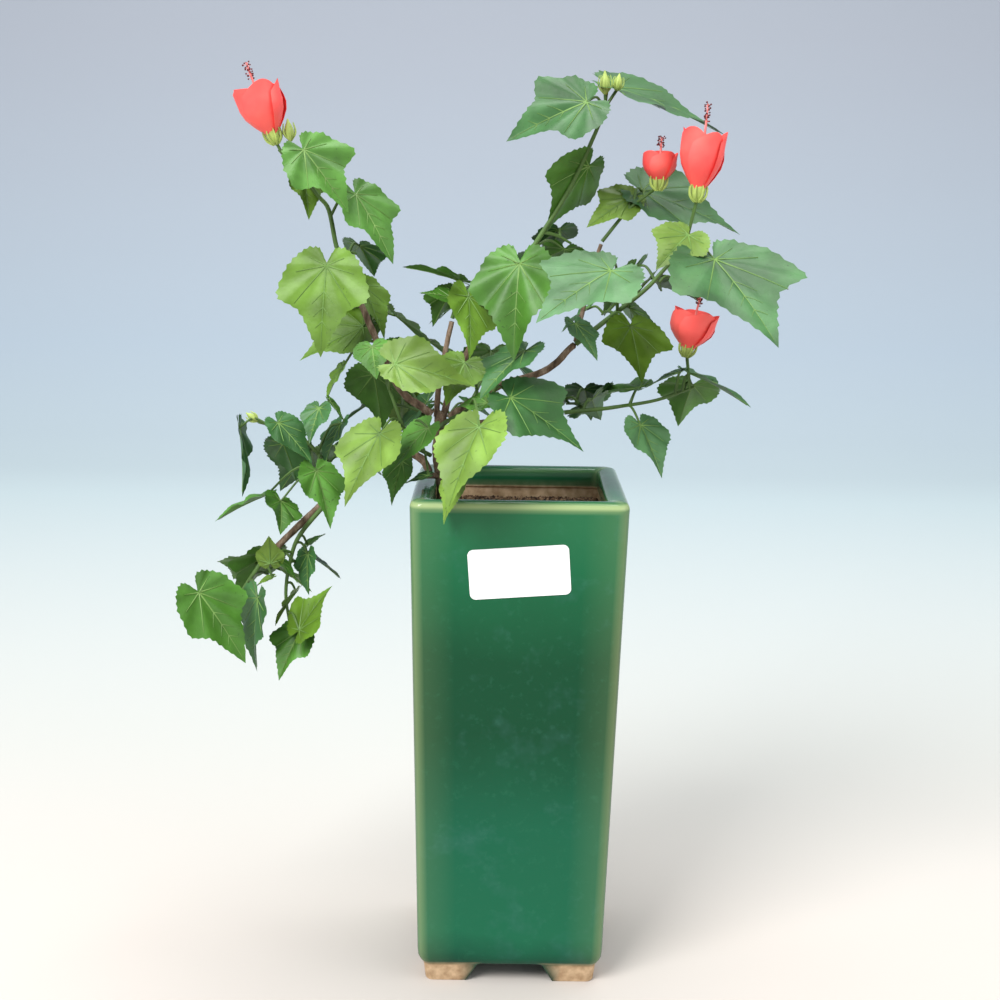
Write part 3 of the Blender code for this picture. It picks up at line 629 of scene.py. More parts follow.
def glaze_material():
    """Deep green gloss, paler along every edge from thin glaze and a painted highlight, with bare clay
    inside and on the feet.
    """
    graph = Graph("glaze", 0.12, 0.22)
    place = graph.place()
    axes = graph.node("ShaderNodeSeparateXYZ", {"Vector": place}).outputs
    cloud = graph.noise(22.0, 5.0, 0.6)
    height = graph.range(axes["Z"], 0.0, POT_HEIGHT * MM)
    level = graph.reckon("ADD", height, graph.reckon("MULTIPLY", cloud, 0.10))
    base = graph.ramp(level, [(0.06, (0.002, 0.035, 0.020)), (0.16, (0.006, 0.105, 0.050)),
                              (0.38, (0.003, 0.088, 0.042)), (0.58, (0.000, 0.048, 0.018)),
                              (0.74, (0.000, 0.050, 0.018)), (0.92, (0.004, 0.100, 0.038)),
                              (1.02, (0.012, 0.115, 0.045))])
    fine = graph.noise(240.0, 6.0, 0.7)
    speckled = graph.mix(graph.range(fine, 0.55, 0.78, 0.0, 0.22), base, (0.030, 0.170, 0.095))
    haze = graph.range(graph.noise(30.0, 4.0, 0.7), 0.56, 0.80, 0.0, 0.22)
    hazy = graph.mix(haze, speckled, (0.060, 0.150, 0.160))
    # The pale edge colour: thin glaze, and a painted highlight on the rim's rounding, the inner lip and
    # the corners
    edge = graph.node("ShaderNodeAttribute", attribute_name="edge").outputs["Fac"]
    thin_glaze_and_highlight_edged = graph.mix(edge, hazy, (0.30, 0.38, 0.17))
    bare = graph.node("ShaderNodeAttribute", attribute_name="bare").outputs["Fac"]
    clay = graph.ramp(graph.noise(300.0, 5.0), [(0.3, (0.38, 0.24, 0.13)), (0.7, (0.66, 0.47, 0.29))])
    rough = graph.range(bare, 0.0, 1.0, 0.12, 0.85)
    graph.tree.links.new(rough, graph.shader.inputs["Roughness"])
    graph.bump(graph.noise(160.0, 3.0), 0.12, 0.0006)
    return graph.colour(graph.mix(bare, thin_glaze_and_highlight_edged, clay))


# Meshes


class Heap:
    """Faces gathered in millimetres of the pot's frame, which become one object."""

    def __init__(self):
        self.points = []
        self.faces = []

    def add(self, points, faces):
        start = len(self.points)
        self.points += points
        self.faces += [tuple(start + i for i in face) for face in faces]

    def made(self, name, material, slot, replaced=(), smooth=True, angle=50.0):
        mesh = bpy.data.meshes.new(name)
        mesh.from_pydata([world(p) for p in self.points], [], self.faces)
        mesh.validate()
        if smooth:
            mesh.shade_smooth()
            mesh.set_sharp_from_angle(angle=math.radians(angle))
        mesh.materials.append(material)
        thing = placed(name, mesh)
        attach(thing, BODY)
        if replaced:
            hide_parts(*replaced)
        return thing


def tube_faces(rings, sides, closed=True):
    faces = []
    for i in range(rings - 1):
        for k in range(sides):
            j = (k + 1) % sides
            faces.append((i * sides + k, i * sides + j, (i + 1) * sides + j, (i + 1) * sides + k))
    if closed:
        faces.append(tuple(reversed(range(sides))))
        faces.append(tuple((rings - 1) * sides + k for k in range(sides)))
    return faces


def add_tube(heap, points, radii, sides, relief=0.0):
    """A tube along the points; relief roughens it with ridges that run along it."""
    made = []
    across = None
    for i, point in enumerate(points):
        ahead = points[min(i + 1, len(points) - 1)] - points[max(i - 1, 0)]
        ahead.normalize()
        if across is None:
            across = ahead.orthogonal().normalized()
        across = (across - across.dot(ahead) * ahead).normalized()
        other = ahead.cross(across)
        for k in range(sides):
            turn = 2 * math.pi * k / sides
            out = across * math.cos(turn) + other * math.sin(turn)
            radius = radii[i]
            if relief:
                place = Vector((math.cos(turn) * 2.2, math.sin(turn) * 2.2, i * 0.28)) + point * 0.05
                radius *= 1 + relief * noise.noise(place) + 0.5 * relief * noise.noise(point * 0.9 + out)
            made.append(point + out * radius)
    heap.add(made, tube_faces(len(points), sides))


def add_limb(heap, route, radii, sides, relief=0.0):
    """A tube along a route, with the radii spread evenly over it."""
    add_tube(heap, [p for p, _ in route], [spread(radii, s) for _, s in route], sides, relief)


def blade_frame(leaf):
    """The blade's directions: to its tip, up from its face, and to its side."""
    tip = way(leaf.bearing, -leaf.dip)
    face = way(leaf.bearing, 90.0 - leaf.dip)
    side = face.cross(tip)
    roll = math.radians(leaf.roll)
    face = face * math.cos(roll) + side * math.sin(roll)
    return tip, face, face.cross(tip)


def blade_point(leaf, frame, along, out, lift=0.0):
    """A place on the folded and arched blade, given in shares of its length."""
    tip, face, side = frame
    sag = BLADE_FOLD * abs(out) - BLADE_ARCH * max(along, 0.0) ** 2
    base = Vector(leaf[:3])
    return base + leaf.length * (tip * along + side * out + face * sag) + face * lift


def half_outline(leaf):
    found = []
    for along, out, more_along, more_out in HALF_OUTLINE:
        found.append((along + more_along * leaf.lobe, (out + more_out * leaf.lobe) * BLADE_WIDTH))
    return found


def coarse_tree(leaf):
    """A few triangles over the blade, with which crossings are found."""
    frame = blade_frame(leaf)
    right = half_outline(leaf)
    outline = [(0.0, 0.0)] + right + [(1.0, 0.0)] + [(a, -o) for a, o in reversed(right)]
    points = [blade_point(leaf, frame, a, o) for a, o in outline + [(BLADE_MIDDLE, 0.0)]]
    last = len(outline)
    return BVHTree.FromPolygons(points, [(last, i, (i + 1) % last) for i in range(last)])


def toothed_outline(leaf, rng):
    """Both halves as smooth curves through the outline's corners, cut into small teeth."""
    corners = [Vector((0.0, 0.0, 0.0))] + [Vector((a, o, 0.0)) for a, o in half_outline(leaf)]
    corners.append(Vector((1.0, 0.0, 0.0)))
    curve = [p for p, _ in smooth_route(corners, OUTLINE_STEPS)]
    right = []
    for i, point in enumerate(curve):
        out = Vector((point.x - BLADE_MIDDLE, point.y, 0.0)).normalized()
        swing = TOOTH_SWINGS[i % 2]
        depth = TOOTH * swing * rng.uniform(*TOOTH_RANGE) if 1 < i < len(curve) - 3 else 0.0
        right.append((point.x + out.x * depth, max(point.y + out.y * depth, 0.0)))
    left = [(a, -o) for a, o in reversed(right[1:-1])]
    return right + left


def pucker(leaf, along, out, wave):
    """How far the blade stands up between its main veins, and waves at its edge."""
    reach = math.hypot(along, out)
    turn = math.degrees(math.atan2(out, along))
    nearest = min(abs(turn - vein[0]) for vein in VEINS)
    bulge = math.sin(min(nearest, PLEAT_TURN) / PLEAT_TURN * math.pi / 2) * reach * PLEAT_RISE
    edge = EDGE_WAVE * math.sin(turn * EDGE_RATE + wave) * reach
    return (bulge + edge) * leaf.length


def add_leaf(heaps, veins, leaf, rng):
    """A blade of rings from its heart to its toothed edge, with its veins on both faces."""
    frame = blade_frame(leaf)
    outline = toothed_outline(leaf, rng)
    wave = rng.uniform(0.0, 2 * math.pi)
    count = len(outline)
    points = [blade_point(leaf, frame, *HEART)]
    for share in INNER_RINGS + (1.0,):
        for along, out in outline:
            a = HEART[0] + (along - HEART[0]) * share
            o = out * share
            points.append(blade_point(leaf, frame, a, o, pucker(leaf, a, o, wave)))
    faces = [(0, 1 + i, 1 + (i + 1) % count) for i in range(count)]
    for ring in range(len(INNER_RINGS)):
        low = 1 + ring * count
        for i in range(count):
            j = (i + 1) % count
            faces.append((low + i, low + count + i, low + count + j, low + j))
    heaps[leaf.tint].add(points, faces)
    for turn, reach in VEINS:
        lobe_reach = reach * (1 + LOBE_GAIN * leaf.lobe) if abs(turn) == LOBE_TURN else reach
        for above in (1.0, -1.0):
            add_vein(veins, leaf, frame, HEART, turn, lobe_reach, above, wave)
    for share in SIDE_VEINS:
        reach = SIDE_VEIN_REACH * (1 - share) + 0.02
        start = (HEART[0] + SIDE_VEIN_SPAN * share, 0.0)
        for turn in (SIDE_VEIN_TURN, -SIDE_VEIN_TURN):
            add_vein(veins, leaf, frame, start, turn, reach, 1.0, wave, SIDE_VEIN_SIZE)


def add_vein(heap, leaf, frame, start, turn, reach, above, wave, size=1.0):
    """A thin ridge that tapers along the blade from a start point."""
    along_way = math.cos(math.radians(turn))
    out_way = math.sin(math.radians(turn))
    points = []
    for i in range(VEIN_STEPS + 1):
        share = i / VEIN_STEPS
        a = start[0] + along_way * reach * share
        o = start[1] + out_way * reach * share
        half = VEIN_WIDTH * size * (1 - VEIN_TAPER * share) / leaf.length
        for side in (-1.0, 0.0, 1.0):
            sa = a - out_way * half * side
            so = o + along_way * half * side
            ridge = (VEIN_RIDGE if side == 0.0 else VEIN_RIM) * size
            lift = pucker(leaf, sa, so, wave) + above * (ridge + VEIN_LIFT)
            points.append(blade_point(leaf, frame, sa, so, lift))
    faces = []
    for i in range(VEIN_STEPS):
        for k in (0, 1):
            low = i * 3 + k
            faces.append((low, low + 1, low + 4, low + 3))
    heap.add(points, faces)


def add_stalk(heap, start, leaf):
    """A stalk that rises from the stem and ends inside the blade's foot."""
    base = Vector(leaf[:3])
    sunk = blade_point(leaf, blade_frame(leaf), STALK_SINK, 0.0)
    rise = Vector((0.0, 0.0, STALK_RISE * (base - start).length))
    middle = (start + base) / 2 + rise
    add_limb(heap, smooth_route([start, middle, sunk], 5), STALK_RADII, 6)


def bloom_axes(bloom):
    """A bloom's foot, the way it faces, and the two directions across it."""
    ahead = way(bloom.bearing, bloom.rise)
    across = ahead.orthogonal().normalized()
    return Vector(bloom[:3]), ahead, across, ahead.cross(across)


def round_way(across, other, turn):
    return across * math.cos(turn) + other * math.sin(turn)


def sheet_faces(rows, columns):
    """Faces of a grid of points, with one point more each way."""
    faces = []
    for i in range(rows):
        for k in range(columns):
            low = i * (columns + 1) + k
            faces.append((low, low + 1, low + columns + 2, low + columns + 1))
    return faces


def add_petals(heap, bloom, rng):
    """Petals that each overlap the next, furled round the column in a spiral."""
    base, ahead, across, other = bloom_axes(bloom)
    for petal in range(PETALS):
        start = petal * 360.0 / PETALS + rng.uniform(-4.0, 4.0)
        tall = rng.uniform(0.93, 1.03)
        points = []
        for i in range(PETAL_STEPS + 1):
            up = i / PETAL_STEPS
            wide = PETAL_SPAN * (0.55 + 0.45 * math.sin(min(up, 0.9) / 0.9 * math.pi / 2))
            for k in range(PETAL_STEPS + 1):
                side = k / PETAL_STEPS
                turn = math.radians(start + up * PETAL_TWIST + (side - 0.5) * wide)
                layer = 1.0 - PETAL_LAYER * side
                curl = 0.10 * max(up - 0.8, 0.0) * 5 * (1 - abs(2 * side - 1))
                radius = bloom.wide * (spread(PETAL_PROFILE, up) * layer + curl)
                ripple = 0.015 * math.sin(9 * side + petal)
                crown = 1.0 - PETAL_CROWN * (2 * side - 1) ** 2 * up + ripple
                height = bloom.length * (up * tall * crown)
                points.append(base + ahead * height + round_way(across, other, turn) * radius)
        heap.add(points, sheet_faces(PETAL_STEPS, PETAL_STEPS))


def add_ball(heap, centre, radius, ahead=None, stretch=1.0):
    """A small ball, or an egg stretched along a direction."""
    bm = bmesh.new()
    bmesh.ops.create_icosphere(bm, subdivisions=1, radius=radius)
    points = []
    for vert in bm.verts:
        offset = vert.co.copy()
        if ahead:
            offset += ahead * offset.dot(ahead) * (stretch - 1)
        points.append(centre + offset)
    faces = [tuple(v.index for v in face.verts) for face in bm.faces]
    bm.free()
    heap.add(points, faces)


def add_column(column, anthers, bloom, rng):
    """The long pink column, and its dark anthers on short threads near the end."""
    base, ahead, across, other = bloom_axes(bloom)
    reach = bloom.length * COLUMN_REACH
    add_tube(column, [base + ahead * reach * s for s in COLUMN_SHARES], COLUMN_RADII, 8)
    for i in range(ANTHERS):
        share = 0.80 + 0.20 * (i / (ANTHERS - 1))
        out = round_way(across, other, i * ANTHER_TURN)
        foot = base + ahead * reach * share
        head = foot + out * rng.uniform(0.8, 1.7) + ahead * rng.uniform(-0.2, 0.8)
        add_tube(column, [foot, head], (0.14, 0.10), 3)
        add_ball(anthers, head, rng.uniform(0.34, 0.5))


def add_bract(heap, route, radius, taper):
    smooth = smooth_route(route, 3)
    add_tube(heap, [p for p, _ in smooth], [radius * (1 - taper * s) for _, s in smooth], 5)


def add_calyx(heap, bloom):
    """The green cup with its teeth, and the narrow bracts that stand round it."""
    base, ahead, across, other = bloom_axes(bloom)
    base = base - ahead * CALYX_SINK
    points = []
    for share, radius in CALYX_RINGS:
        for k in range(CALYX_SIDES):
            turn = 2 * math.pi * k / CALYX_SIDES
            tooth = 0.28 * CALYX_TALL * (0.5 + 0.5 * math.cos(5 * turn)) if share == 1.0 else 0.0
            height = share * CALYX_TALL * 0.8 + tooth
            points.append(base + ahead * height + round_way(across, other, turn) * radius)
    foot = tuple(reversed(range(CALYX_SIDES)))
    heap.add(points, tube_faces(len(CALYX_RINGS), CALYX_SIDES, closed=False) + [foot])
    for k in range(BRACTS):
        out = round_way(across, other, 2 * math.pi * (k + 0.5) / BRACTS)
        add_bract(heap, [base + out * wide + ahead * up for wide, up in BRACT_ROUTE], 0.55, 0.75)


def add_bud(heap, bloom):
    """A closed bud: a ribbed egg with bracts that stand up round it."""
    base, ahead, across, other = bloom_axes(bloom)
    points = []
    for i, radius in enumerate(BUD_PROFILE):
        share = i / (len(BUD_PROFILE) - 1)
        for k in range(BUD_SIDES):
            turn = 2 * math.pi * k / BUD_SIDES
            rib = 1 + 0.08 * math.cos(5 * turn)
            out = round_way(across, other, turn)
            points.append(base + ahead * bloom.length * share + out * radius * rib * bloom.wide * 0.8)
    heap.add(points, tube_faces(len(BUD_PROFILE), BUD_SIDES))
    for k in range(BUD_BRACTS):
        out = round_way(across, other, 2 * math.pi * k / BUD_BRACTS)
        route = [base + out * 0.3, base + out * bloom.wide * 1.1 + ahead * bloom.length * 0.35,
                 base + out * bloom.wide * 0.9 + ahead * bloom.length * 0.8]
        add_bract(heap, route, 0.45, 0.7)


def rule_leaf(rng, start, twig, share, side):
    """A leaf to one side of a twig, drawn at random within the rule's ranges."""
    length = spread(RULE_LENGTHS, share) * rng.uniform(0.85, 1.1)
    bearing = twig.bearing + side * RULE_SPREAD * rng.uniform(0.6, 1.2)
    stalk = way(bearing, rng.uniform(5.0, 40.0)) * RULE_STALK * length * rng.uniform(0.8, 1.3)
    base = start + stalk
    dip = rng.uniform(*RULE_DIPS)
    roll = rng.uniform(-20.0, 20.0)
    facing = bearing + rng.uniform(-20.0, 20.0)
    lobe = rng.uniform(0.1, 0.8)
    tint = rng.choice(RULE_TINTS)
    return Leaf(*base, facing, dip, roll, length, lobe, tint)


def limb_trees(frame):
    """The solid limbs and pot, with which crossings are found."""
    trees = []
    for name in list(LIMBS) + ["pot"]:
        mesh = frame["nodes"][name].data
        points = [v.co / MM - POT_AT for v in mesh.vertices]
        trees.append(BVHTree.FromPolygons(points, [list(p.vertices) for p in mesh.polygons]))
    return trees


def make_foliage(frame):
    """Every mass's stem, leaves and flowers, and then the twigs on its far side."""
    rng = random.Random(SEED)
    heaps = {tint: Heap() for tint in TINTS}
    veins, stems, petals, columns, anthers, calyces = (Heap() for _ in range(6))
    trees = limb_trees(frame)
    routes = {name: smooth_route(mass.route, 5) for name, mass in MASSES.items()}
    for name, mass in MASSES.items():
        route = routes[name]
        add_limb(stems, route, mass.radii, 8, FINE_RELIEF)
        for leaf in mass.leaves:
            start = point_at(route, nearest_share(route, Vector(leaf[:3])))
            add_stalk(stems, start, leaf)
            add_leaf(heaps, veins, leaf, rng)
            trees.append(coarse_tree(leaf))
        for bloom in mass.blooms:
            foot, ahead, _, _ = bloom_axes(bloom)
            ends = [point_at(route, LAST_SHARE), foot + ahead * 0.4]
            add_tube(stems, ends, (BLOOM_STALK, BLOOM_STALK), 6)
            if bloom.open:
                add_petals(petals, bloom, rng)
                add_column(columns, anthers, bloom, rng)
                add_calyx(calyces, bloom)
            else:
                add_bud(calyces, bloom)
    for name, mass in MASSES.items():
        for twig in mass.twigs:
            grow_twig(rng, routes[name], twig, trees, heaps, veins, stems)
    pieces = [(heaps[tint], "leaves_" + word, leaf_material("leaf_" + word, colour))
              for tint, (word, colour) in TINTS.items()]
    pieces += [
        (veins, "leaf_veins", plain("leaf_vein", (0.115, 0.215, 0.045))),
        (stems, "green_stems", plain("green_stem", (0.060, 0.120, 0.022))),
        (petals, "petals", petal_material()),
        (columns, "flower_columns", plain("column", (0.75, 0.22, 0.20))),
        (anthers, "anthers", plain("anther", (0.10, 0.012, 0.015))),
        (calyces, "calyces_and_buds", plain("calyx", (0.33, 0.42, 0.10))),
    ]
    for heap, name, material in pieces:
        heap.made(name, material, "leaf_green", list(MASSES), angle=80.0 if heap is petals else 50.0)


def grow_twig(rng, route, twig, trees, heaps, veins, stems):
    """A side twig, with each leaf drawn again until it crosses nothing, or left out."""
    start = point_at(route, twig.along)
    ahead = way(twig.bearing, twig.rise) * twig.length
    points = [start, start + ahead * 0.5 + Vector((0.0, 0.0, 0.06 * twig.length)), start + ahead]
    smooth = smooth_route(points, 4)
    add_limb(stems, smooth, TWIG_RADII, 6, FINE_RELIEF)
    for i in range(twig.leaves):
        share = (i + 0.6) / twig.leaves
        foot = point_at(smooth, min(share, LAST_SHARE))
        for _ in range(RULE_TRIES):
            leaf = rule_leaf(rng, foot, twig, share, 1 if i % 2 == 0 else -1)
            tree = coarse_tree(leaf)
            if not any(tree.overlap(other) for other in trees):
                add_stalk(stems, foot, leaf)
                add_leaf(heaps, veins, leaf, rng)
                trees.append(tree)
                break


def make_limbs():
    """Trunk and boughs with ridges, knobs and a cut stub, drawn as one bark piece."""
    bark = Heap()
    for points, radii in LIMBS.values():
        swelled = [radius * BARK_SWELL for radius in radii]
        add_limb(bark, smooth_route(points, BARK_STEPS), swelled, BARK_SIDES, BARK_RELIEF)
    start, stop, radius = STUB
    ends = [Vector(start), Vector(start).lerp(Vector(stop), 0.5), Vector(stop)]
    add_tube(bark, ends, (radius * 1.15, radius * 1.05, radius), 14, FINE_RELIEF)
    for centre, size in KNOTS:
        add_ball(bark, Vector(centre), size)
    bark.made("bark_relief", bark_material(), "bark", list(LIMBS), angle=70.0)
    cut = Heap()
    end = Vector(stop)
    ahead = (end - Vector(start)).normalized()
    add_tube(cut, [end - ahead * 0.1, end + ahead * 0.25], (radius * 0.8, radius * 0.78), 14)
    cut.made("stub_cut", plain("cut_wood", (0.62, 0.48, 0.30), 0.8), "bark")


def square_ring(half, corner, z):
    """Points of a rounded square, shifted by the pot's lean at its height."""
    shift = POT_LEAN * z / POT_HEIGHT
    arcs = []
    for quarter in range(4):
        start = quarter * math.pi / 2
        middle = Vector((math.cos(start + math.pi / 4), math.sin(start + math.pi / 4)))
        middle = middle * ((half - corner) * math.sqrt(2))
        arc = []
        for step in range(CORNER_STEPS + 1):
            turn = start + step * math.pi / 2 / CORNER_STEPS
            x = middle.x + corner * math.cos(turn) + shift
            arc.append(Vector((x, middle.y + corner * math.sin(turn), z)))
        arcs.append(arc)
    ring = []
    for arc, following in zip(arcs, arcs[1:] + arcs[:1]):
        ring += arc
        ring += [arc[-1].lerp(following[0], s / FLAT_STEPS) for s in range(1, FLAT_STEPS)]
    return ring


def wall_half(z):
    """Half the pot's width at a height."""
    share = (z - FOOT_HEIGHT) / (POT_HEIGHT - FOOT_HEIGHT)
    return (POT_BASE_WIDTH + (POT_TOP_WIDTH - POT_BASE_WIDTH) * share) / 2


def cavity_half(z):
    """Half the cavity's width at a height, from the floor to the lip's foot."""
    lip_foot = POT_HEIGHT - LIP_DEPTH
    top = POT_TOP_WIDTH / 2 - LIP_WIDTH + LIP_OVERHANG
    return FLOOR_HALF + (top - FLOOR_HALF) * (z - FLOOR_TOP) / (lip_foot - FLOOR_TOP)


def pot_profile():
    """Height, half width, corner radius, share of pale edge (thin glaze and painted highlight) and share
    of bare clay.
    """
    top = POT_HEIGHT
    low = FOOT_HEIGHT
    rim = POT_TOP_WIDTH / 2
    lip = rim - LIP_WIDTH
    lip_foot = top - LIP_DEPTH
    foot = wall_half(low) - FOOT_INSET
    rows = [
        (0.0, foot - 0.4, 3.2, 0.0, 1.0),
        (0.6, foot, 3.5, 0.0, 1.0),
        (low - 1.5, foot + 0.8, 3.5, 0.0, 1.0),
        (low - 0.6, foot + 1.4, 4.2, 0.2, 0.6),
        (low + 1.0, wall_half(low) - 0.9, 4.8, 0.0, 0.0),
        (low + 3.0, wall_half(low + 3.0) - 0.15, POT_CORNER, 0.0, 0.0),
    ]
    for i in range(WALL_ROWS):
        z = low + 6.0 + (top - low - 11.0) * i / (WALL_ROWS - 1)
        rows.append((z, wall_half(z), POT_CORNER, 0.0, 0.0))
    # The rim's outer rounding and the inner lip get high pale-edge shares: a painted highlight over thin
    # glaze
    rows += [
        (top - 3.4, rim - 0.05, POT_CORNER, 0.35, 0.0),
        (top - 2.2, rim - 0.2, POT_CORNER, 0.95, 0.0),
        (top - 1.2, rim - 0.7, 4.8, 0.85, 0.0),
        (top - 0.5, rim - 1.5, 4.5, 0.30, 0.0),
        (top - 0.1, rim - 2.6, 4.1, 0.05, 0.0),
        (top, rim - 4.4, 4.0, 0.0, 0.0),
        (top - 0.2, lip + 2.8, 3.7, 0.0, 0.0),
        (top - 0.7, lip + 1.6, 3.4, 0.1, 0.0),
        (top - 1.5, lip + 0.6, 3.1, 0.25, 0.0),
        (top - 2.6, lip + 0.1, INNER_CORNER, 0.1, 0.0),
        (top - 5.0, lip, INNER_CORNER, 0.0, 0.0),
        (lip_foot + 1.6, lip, INNER_CORNER, 0.0, 0.2),
        (lip_foot + 0.8, lip + 0.1, INNER_CORNER, 0.0, 1.0),
        (lip_foot, cavity_half(lip_foot), INNER_CORNER, 0.0, 1.0),
        (SOIL_TOP, cavity_half(SOIL_TOP), INNER_CORNER, 0.0, 1.0),
        (FLOOR_TOP, FLOOR_HALF, INNER_CORNER, 0.0, 1.0),
    ]
    return rows


def arch_cutter(turned):
    """A bar that cuts an arch under two opposite walls, with round upper corners."""
    flare = (ARCH_BOTTOM - ARCH_TOP) / 2 * (2.0 / FOOT_HEIGHT)
    section = ((-ARCH_BOTTOM / 2 - flare, -2.0), (ARCH_BOTTOM / 2 + flare, -2.0),
               (ARCH_TOP / 2 + 1.2, FOOT_HEIGHT - 0.6), (ARCH_TOP / 2 - 0.8, FOOT_HEIGHT),
               (-ARCH_TOP / 2 + 0.8, FOOT_HEIGHT), (-ARCH_TOP / 2 - 1.2, FOOT_HEIGHT - 0.6))
    turn = Matrix.Rotation(turned, 3, "Z")
    points = [turn @ Vector((x, y, z)) for y in (-POT_BASE_WIDTH, POT_BASE_WIDTH) for x, z in section]
    mesh = bpy.data.meshes.new("arch")
    mesh.from_pydata([world(p) for p in points], [], tube_faces(2, len(section)))
    facing = bmesh.new()
    facing.from_mesh(mesh)
    bmesh.ops.recalc_face_normals(facing, faces=facing.faces)
    facing.to_mesh(mesh)
    facing.free()
    return placed("arch", mesh)


def write_shares(mesh, name, values):
    attribute = mesh.attributes.new(name, "FLOAT", "POINT")
    for item, value in zip(attribute.data, values):
        item.value = value


def make_pot():
    """The pot as one closed skin from foot to cavity, with paler corners (thin glaze and painted
    highlight) and cut arches.
    """
    rows = pot_profile()
    rings = [square_ring(half, corner, z) for z, half, corner, _, _ in rows]
    sides = len(rings[0])
    heap = Heap()
    heap.add([p for ring in rings for p in ring], tube_faces(len(rings), sides))
    pot = heap.made("glazed_pot", glaze_material(), "pot_glaze", ["pot"], angle=35.0)
    thin_glaze_and_highlight_shares = []
    bares = []
    middle = CORNER_STEPS // 2
    # Pale edge shares by rows and round the corners: thin glaze and a painted highlight
    for _, _, _, edge, bare in rows:
        for i in range(sides):
            place = i % (sides // 4)
            pale = CORNER_THIN_GLAZE_AND_HIGHLIGHT * (1 - abs(place - middle) / (middle + 1))
            if place > CORNER_STEPS or bare > 0.0:
                pale = 0.0
            thin_glaze_and_highlight_shares.append(max(edge, pale))
            bares.append(bare)
    write_shares(pot.data, "edge", thin_glaze_and_highlight_shares)
    write_shares(pot.data, "bare", bares)
    for turned in (0.0, math.pi / 2):
        cutter = arch_cutter(turned)
        modifier = pot.modifiers.new("arch", "BOOLEAN")
        modifier.operation = "DIFFERENCE"
        modifier.object = cutter
        bpy.context.view_layer.update()
        cut = bpy.data.meshes.new_from_object(pot.evaluated_get(bpy.context.evaluated_depsgraph_get()))
        pot.modifiers.clear()
        pot.data = cut
        bpy.data.objects.remove(cutter, do_unlink=True)


def add_curl(heap, x, y, bearing, length, roll):
    """A dry leaf rolled along its length into an open trough."""
    ahead = way(bearing, 4.0)
    side = Vector((-ahead.y, ahead.x, 0.0))
    points = []
    for i in range(CURL_ROWS + 1):
        middle = Vector((x, y, SOIL_TOP)) + ahead * length * (i / CURL_ROWS - 0.5)
        radius = length * roll * math.sin(math.pi * (0.04 + 0.93 * i / CURL_ROWS))
        for j in range(CURL_COLUMNS + 1):
            turn = math.radians(-CURL_SPAN / 2 + CURL_SPAN * j / CURL_COLUMNS)
            lift = Vector((0.0, 0.0, radius * (1.0 - math.cos(turn))))
            points.append(middle + side * radius * math.sin(turn) + lift)
    heap.add(points, sheet_faces(CURL_ROWS, CURL_COLUMNS))


def make_soil():
    """A rough bed under thousands of grains, with dry curled leaves on top."""
    rng = random.Random(SEED + 1)
    half = cavity_half(SOIL_TOP) - 0.4
    bed = Heap()
    points = []
    for i in range(BED_STEPS + 1):
        for j in range(BED_STEPS + 1):
            x = -half + 2 * half * i / BED_STEPS
            y = -half + 2 * half * j / BED_STEPS
            place = Vector((x, y, 0.0)) * 0.12
            points.append(Vector((x + POT_LEAN, y, SOIL_TOP - 1.2 + 1.0 * noise.noise(place))))
    bed.add(points, [(a, d, c, b) for a, b, c, d in sheet_faces(BED_STEPS, BED_STEPS)])
    bed.made("soil_bed", plain("soil_bed", (0.075, 0.042, 0.024), 0.95, 300.0, 0.5), "soil", ["soil"])
    tints = (("brown", (0.15, 0.085, 0.045)), ("dark", (0.055, 0.032, 0.020)), ("tan", (0.30, 0.19, 0.11)))
    for word, colour in tints:
        grains = Heap()
        for _ in range(GRAINS):
            x = rng.uniform(-half + 0.9, half - 0.9) + POT_LEAN
            y = rng.uniform(-half + 0.9, half - 0.9)
            size = rng.uniform(*GRAIN_SIZES)
            middle = Vector((x, y, SOIL_TOP - 0.7 - rng.uniform(0.0, 0.5)))
            ahead = way(rng.uniform(0, 360), rng.uniform(-30, 30))
            add_ball(grains, middle, size * 0.8, ahead, rng.uniform(0.7, 1.3))
        grains.made("soil_grains_" + word, plain("grain_" + word, colour, 0.95), "soil", smooth=False)
    curls = Heap()
    for curl in CURLS:
        add_curl(curls, *curl)
    curls.made("dry_leaves", plain("dry_leaf", (0.105, 0.058, 0.028), 0.8), "soil")


def make_label():
    """A blank label with round corners, on the front wall and turned a little."""
    width, tall = LABEL_SIZE
    turn = Matrix.Rotation(math.radians(LABEL_TURN), 3, "Y")
    x, z = LABEL_AT
    points = []
    for layer in LABEL_LAYERS:
        for quarter in range(4):
            middle = Vector(((width / 2 - LABEL_CORNER) * (1 if quarter in (0, 3) else -1), 0.0,
                             (tall / 2 - LABEL_CORNER) * (1 if quarter in (0, 1) else -1)))
            for step in range(LABEL_STEPS + 1):
                angle = math.radians(quarter * 90 + step * 90 / LABEL_STEPS)
                spot = middle + Vector((math.cos(angle), 0.0, math.sin(angle))) * LABEL_CORNER
                spot = turn @ spot + Vector((x, 0.0, z))
                spot.y = -wall_half(spot.z) - layer
                points.append(spot)
    label = Heap()
    label.add(points, tube_faces(2, 4 * (LABEL_STEPS + 1)))
    label.made("blank_label", plain("label_paper", (0.80, 0.80, 0.80), 0.5, 30.0, 0.02), "pot_glaze")


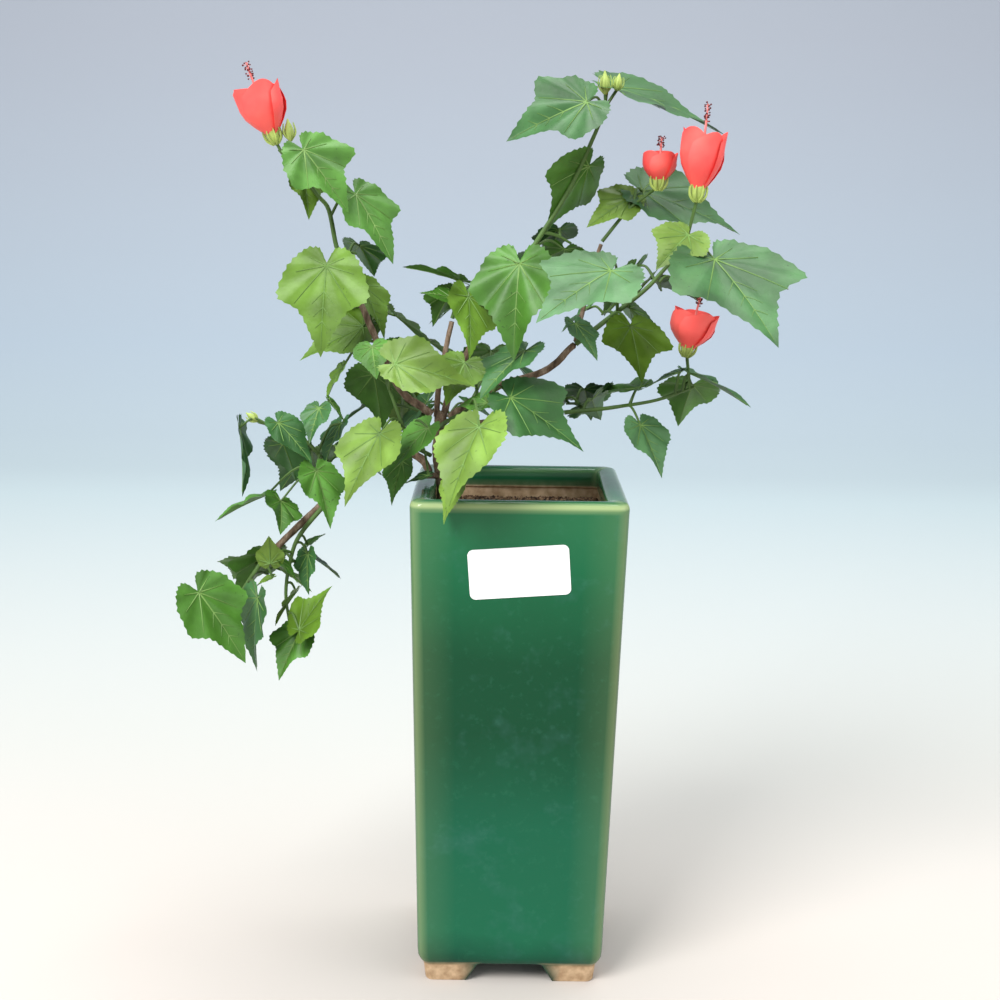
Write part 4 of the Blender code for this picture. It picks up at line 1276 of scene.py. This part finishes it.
def make_stage():
    """A pale floor that curves up into a light wall, and soft lights."""
    floor = bpy.data.meshes.new("floor")
    profile = [(STAGE_FRONT, 0.0)]
    for step in range(BEND_STEPS + 1):
        turn = step * math.pi / 2 / BEND_STEPS
        height = BEND_RADIUS - BEND_RADIUS * math.cos(turn)
        profile.append((BEND_START + BEND_RADIUS * math.sin(turn), height))
    profile.append((BEND_START + BEND_RADIUS, WALL_TOP))
    points = [(x, y, z) for y, z in profile for x in (-STAGE_HALF, STAGE_HALF)]
    faces = [(2 * i, 2 * i + 1, 2 * i + 3, 2 * i + 2) for i in range(len(profile) - 1)]
    floor.from_pydata(points, [], faces)
    floor.shade_smooth()
    graph = Graph("floor", 0.9, 0.1)
    axes = graph.node("ShaderNodeSeparateXYZ", {"Vector": graph.place()}).outputs
    away = graph.reckon("ADD", axes["Y"], axes["Z"])
    # The floor and wall turn darker and bluer towards the back: a painted falloff of the light
    painted_falloff_tones = [(0.0, (0.48, 0.44, 0.40)), (0.10, (0.45, 0.45, 0.42)), (0.40, (0.43, 0.50, 0.51)),
             (0.66, (0.37, 0.43, 0.48)), (0.98, (0.36, 0.38, 0.42))]
    floor.materials.append(graph.colour(graph.ramp(graph.range(away, 0.0, STAGE_REACH), painted_falloff_tones)))
    placed("floor", floor)
    sky = bpy.data.worlds.new("sky")
    sky.use_nodes = True
    sky.node_tree.nodes["Background"].inputs["Color"].default_value = (0.86, 0.92, 1.0, 1.0)
    sky.node_tree.nodes["Background"].inputs["Strength"].default_value = 0.85
    bpy.context.scene.world = sky
    bpy.context.scene.view_settings.view_transform = "Standard"
    for name, place, power, size in LIGHTS:
        light = bpy.data.lights.new(name, "AREA")
        light.energy = power
        light.size = size
        thing = placed(name, light)
        thing.location = place
        thing.rotation_euler = (AIM - Vector(place)).to_track_quat("-Z", "Y").to_euler()


def make_camera():
    camera = bpy.data.cameras.new("camera")
    camera.lens = CAMERA_LENS
    camera.sensor_width = CAMERA_SENSOR
    thing = placed("camera", camera)
    pitch = math.radians(CAMERA_PITCH)
    roll = math.radians(CAMERA_ROLL)
    ahead = Vector((0.0, math.cos(pitch), -math.sin(pitch)))
    right = Vector((1.0, 0.0, 0.0))
    up = right.cross(ahead)
    turned_right = right * math.cos(roll) + up * math.sin(roll)
    turned_up = up * math.cos(roll) - right * math.sin(roll)
    place = Matrix((turned_right, turned_up, -ahead)).transposed().to_4x4()
    place.translation = world(CAMERA_AT)
    thing.matrix_world = place
    bpy.context.scene.camera = thing


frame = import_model()
make_foliage(frame)
make_limbs()
make_pot()
make_soil()
make_label()
make_stage()
make_camera()
bpy.context.view_layer.update()
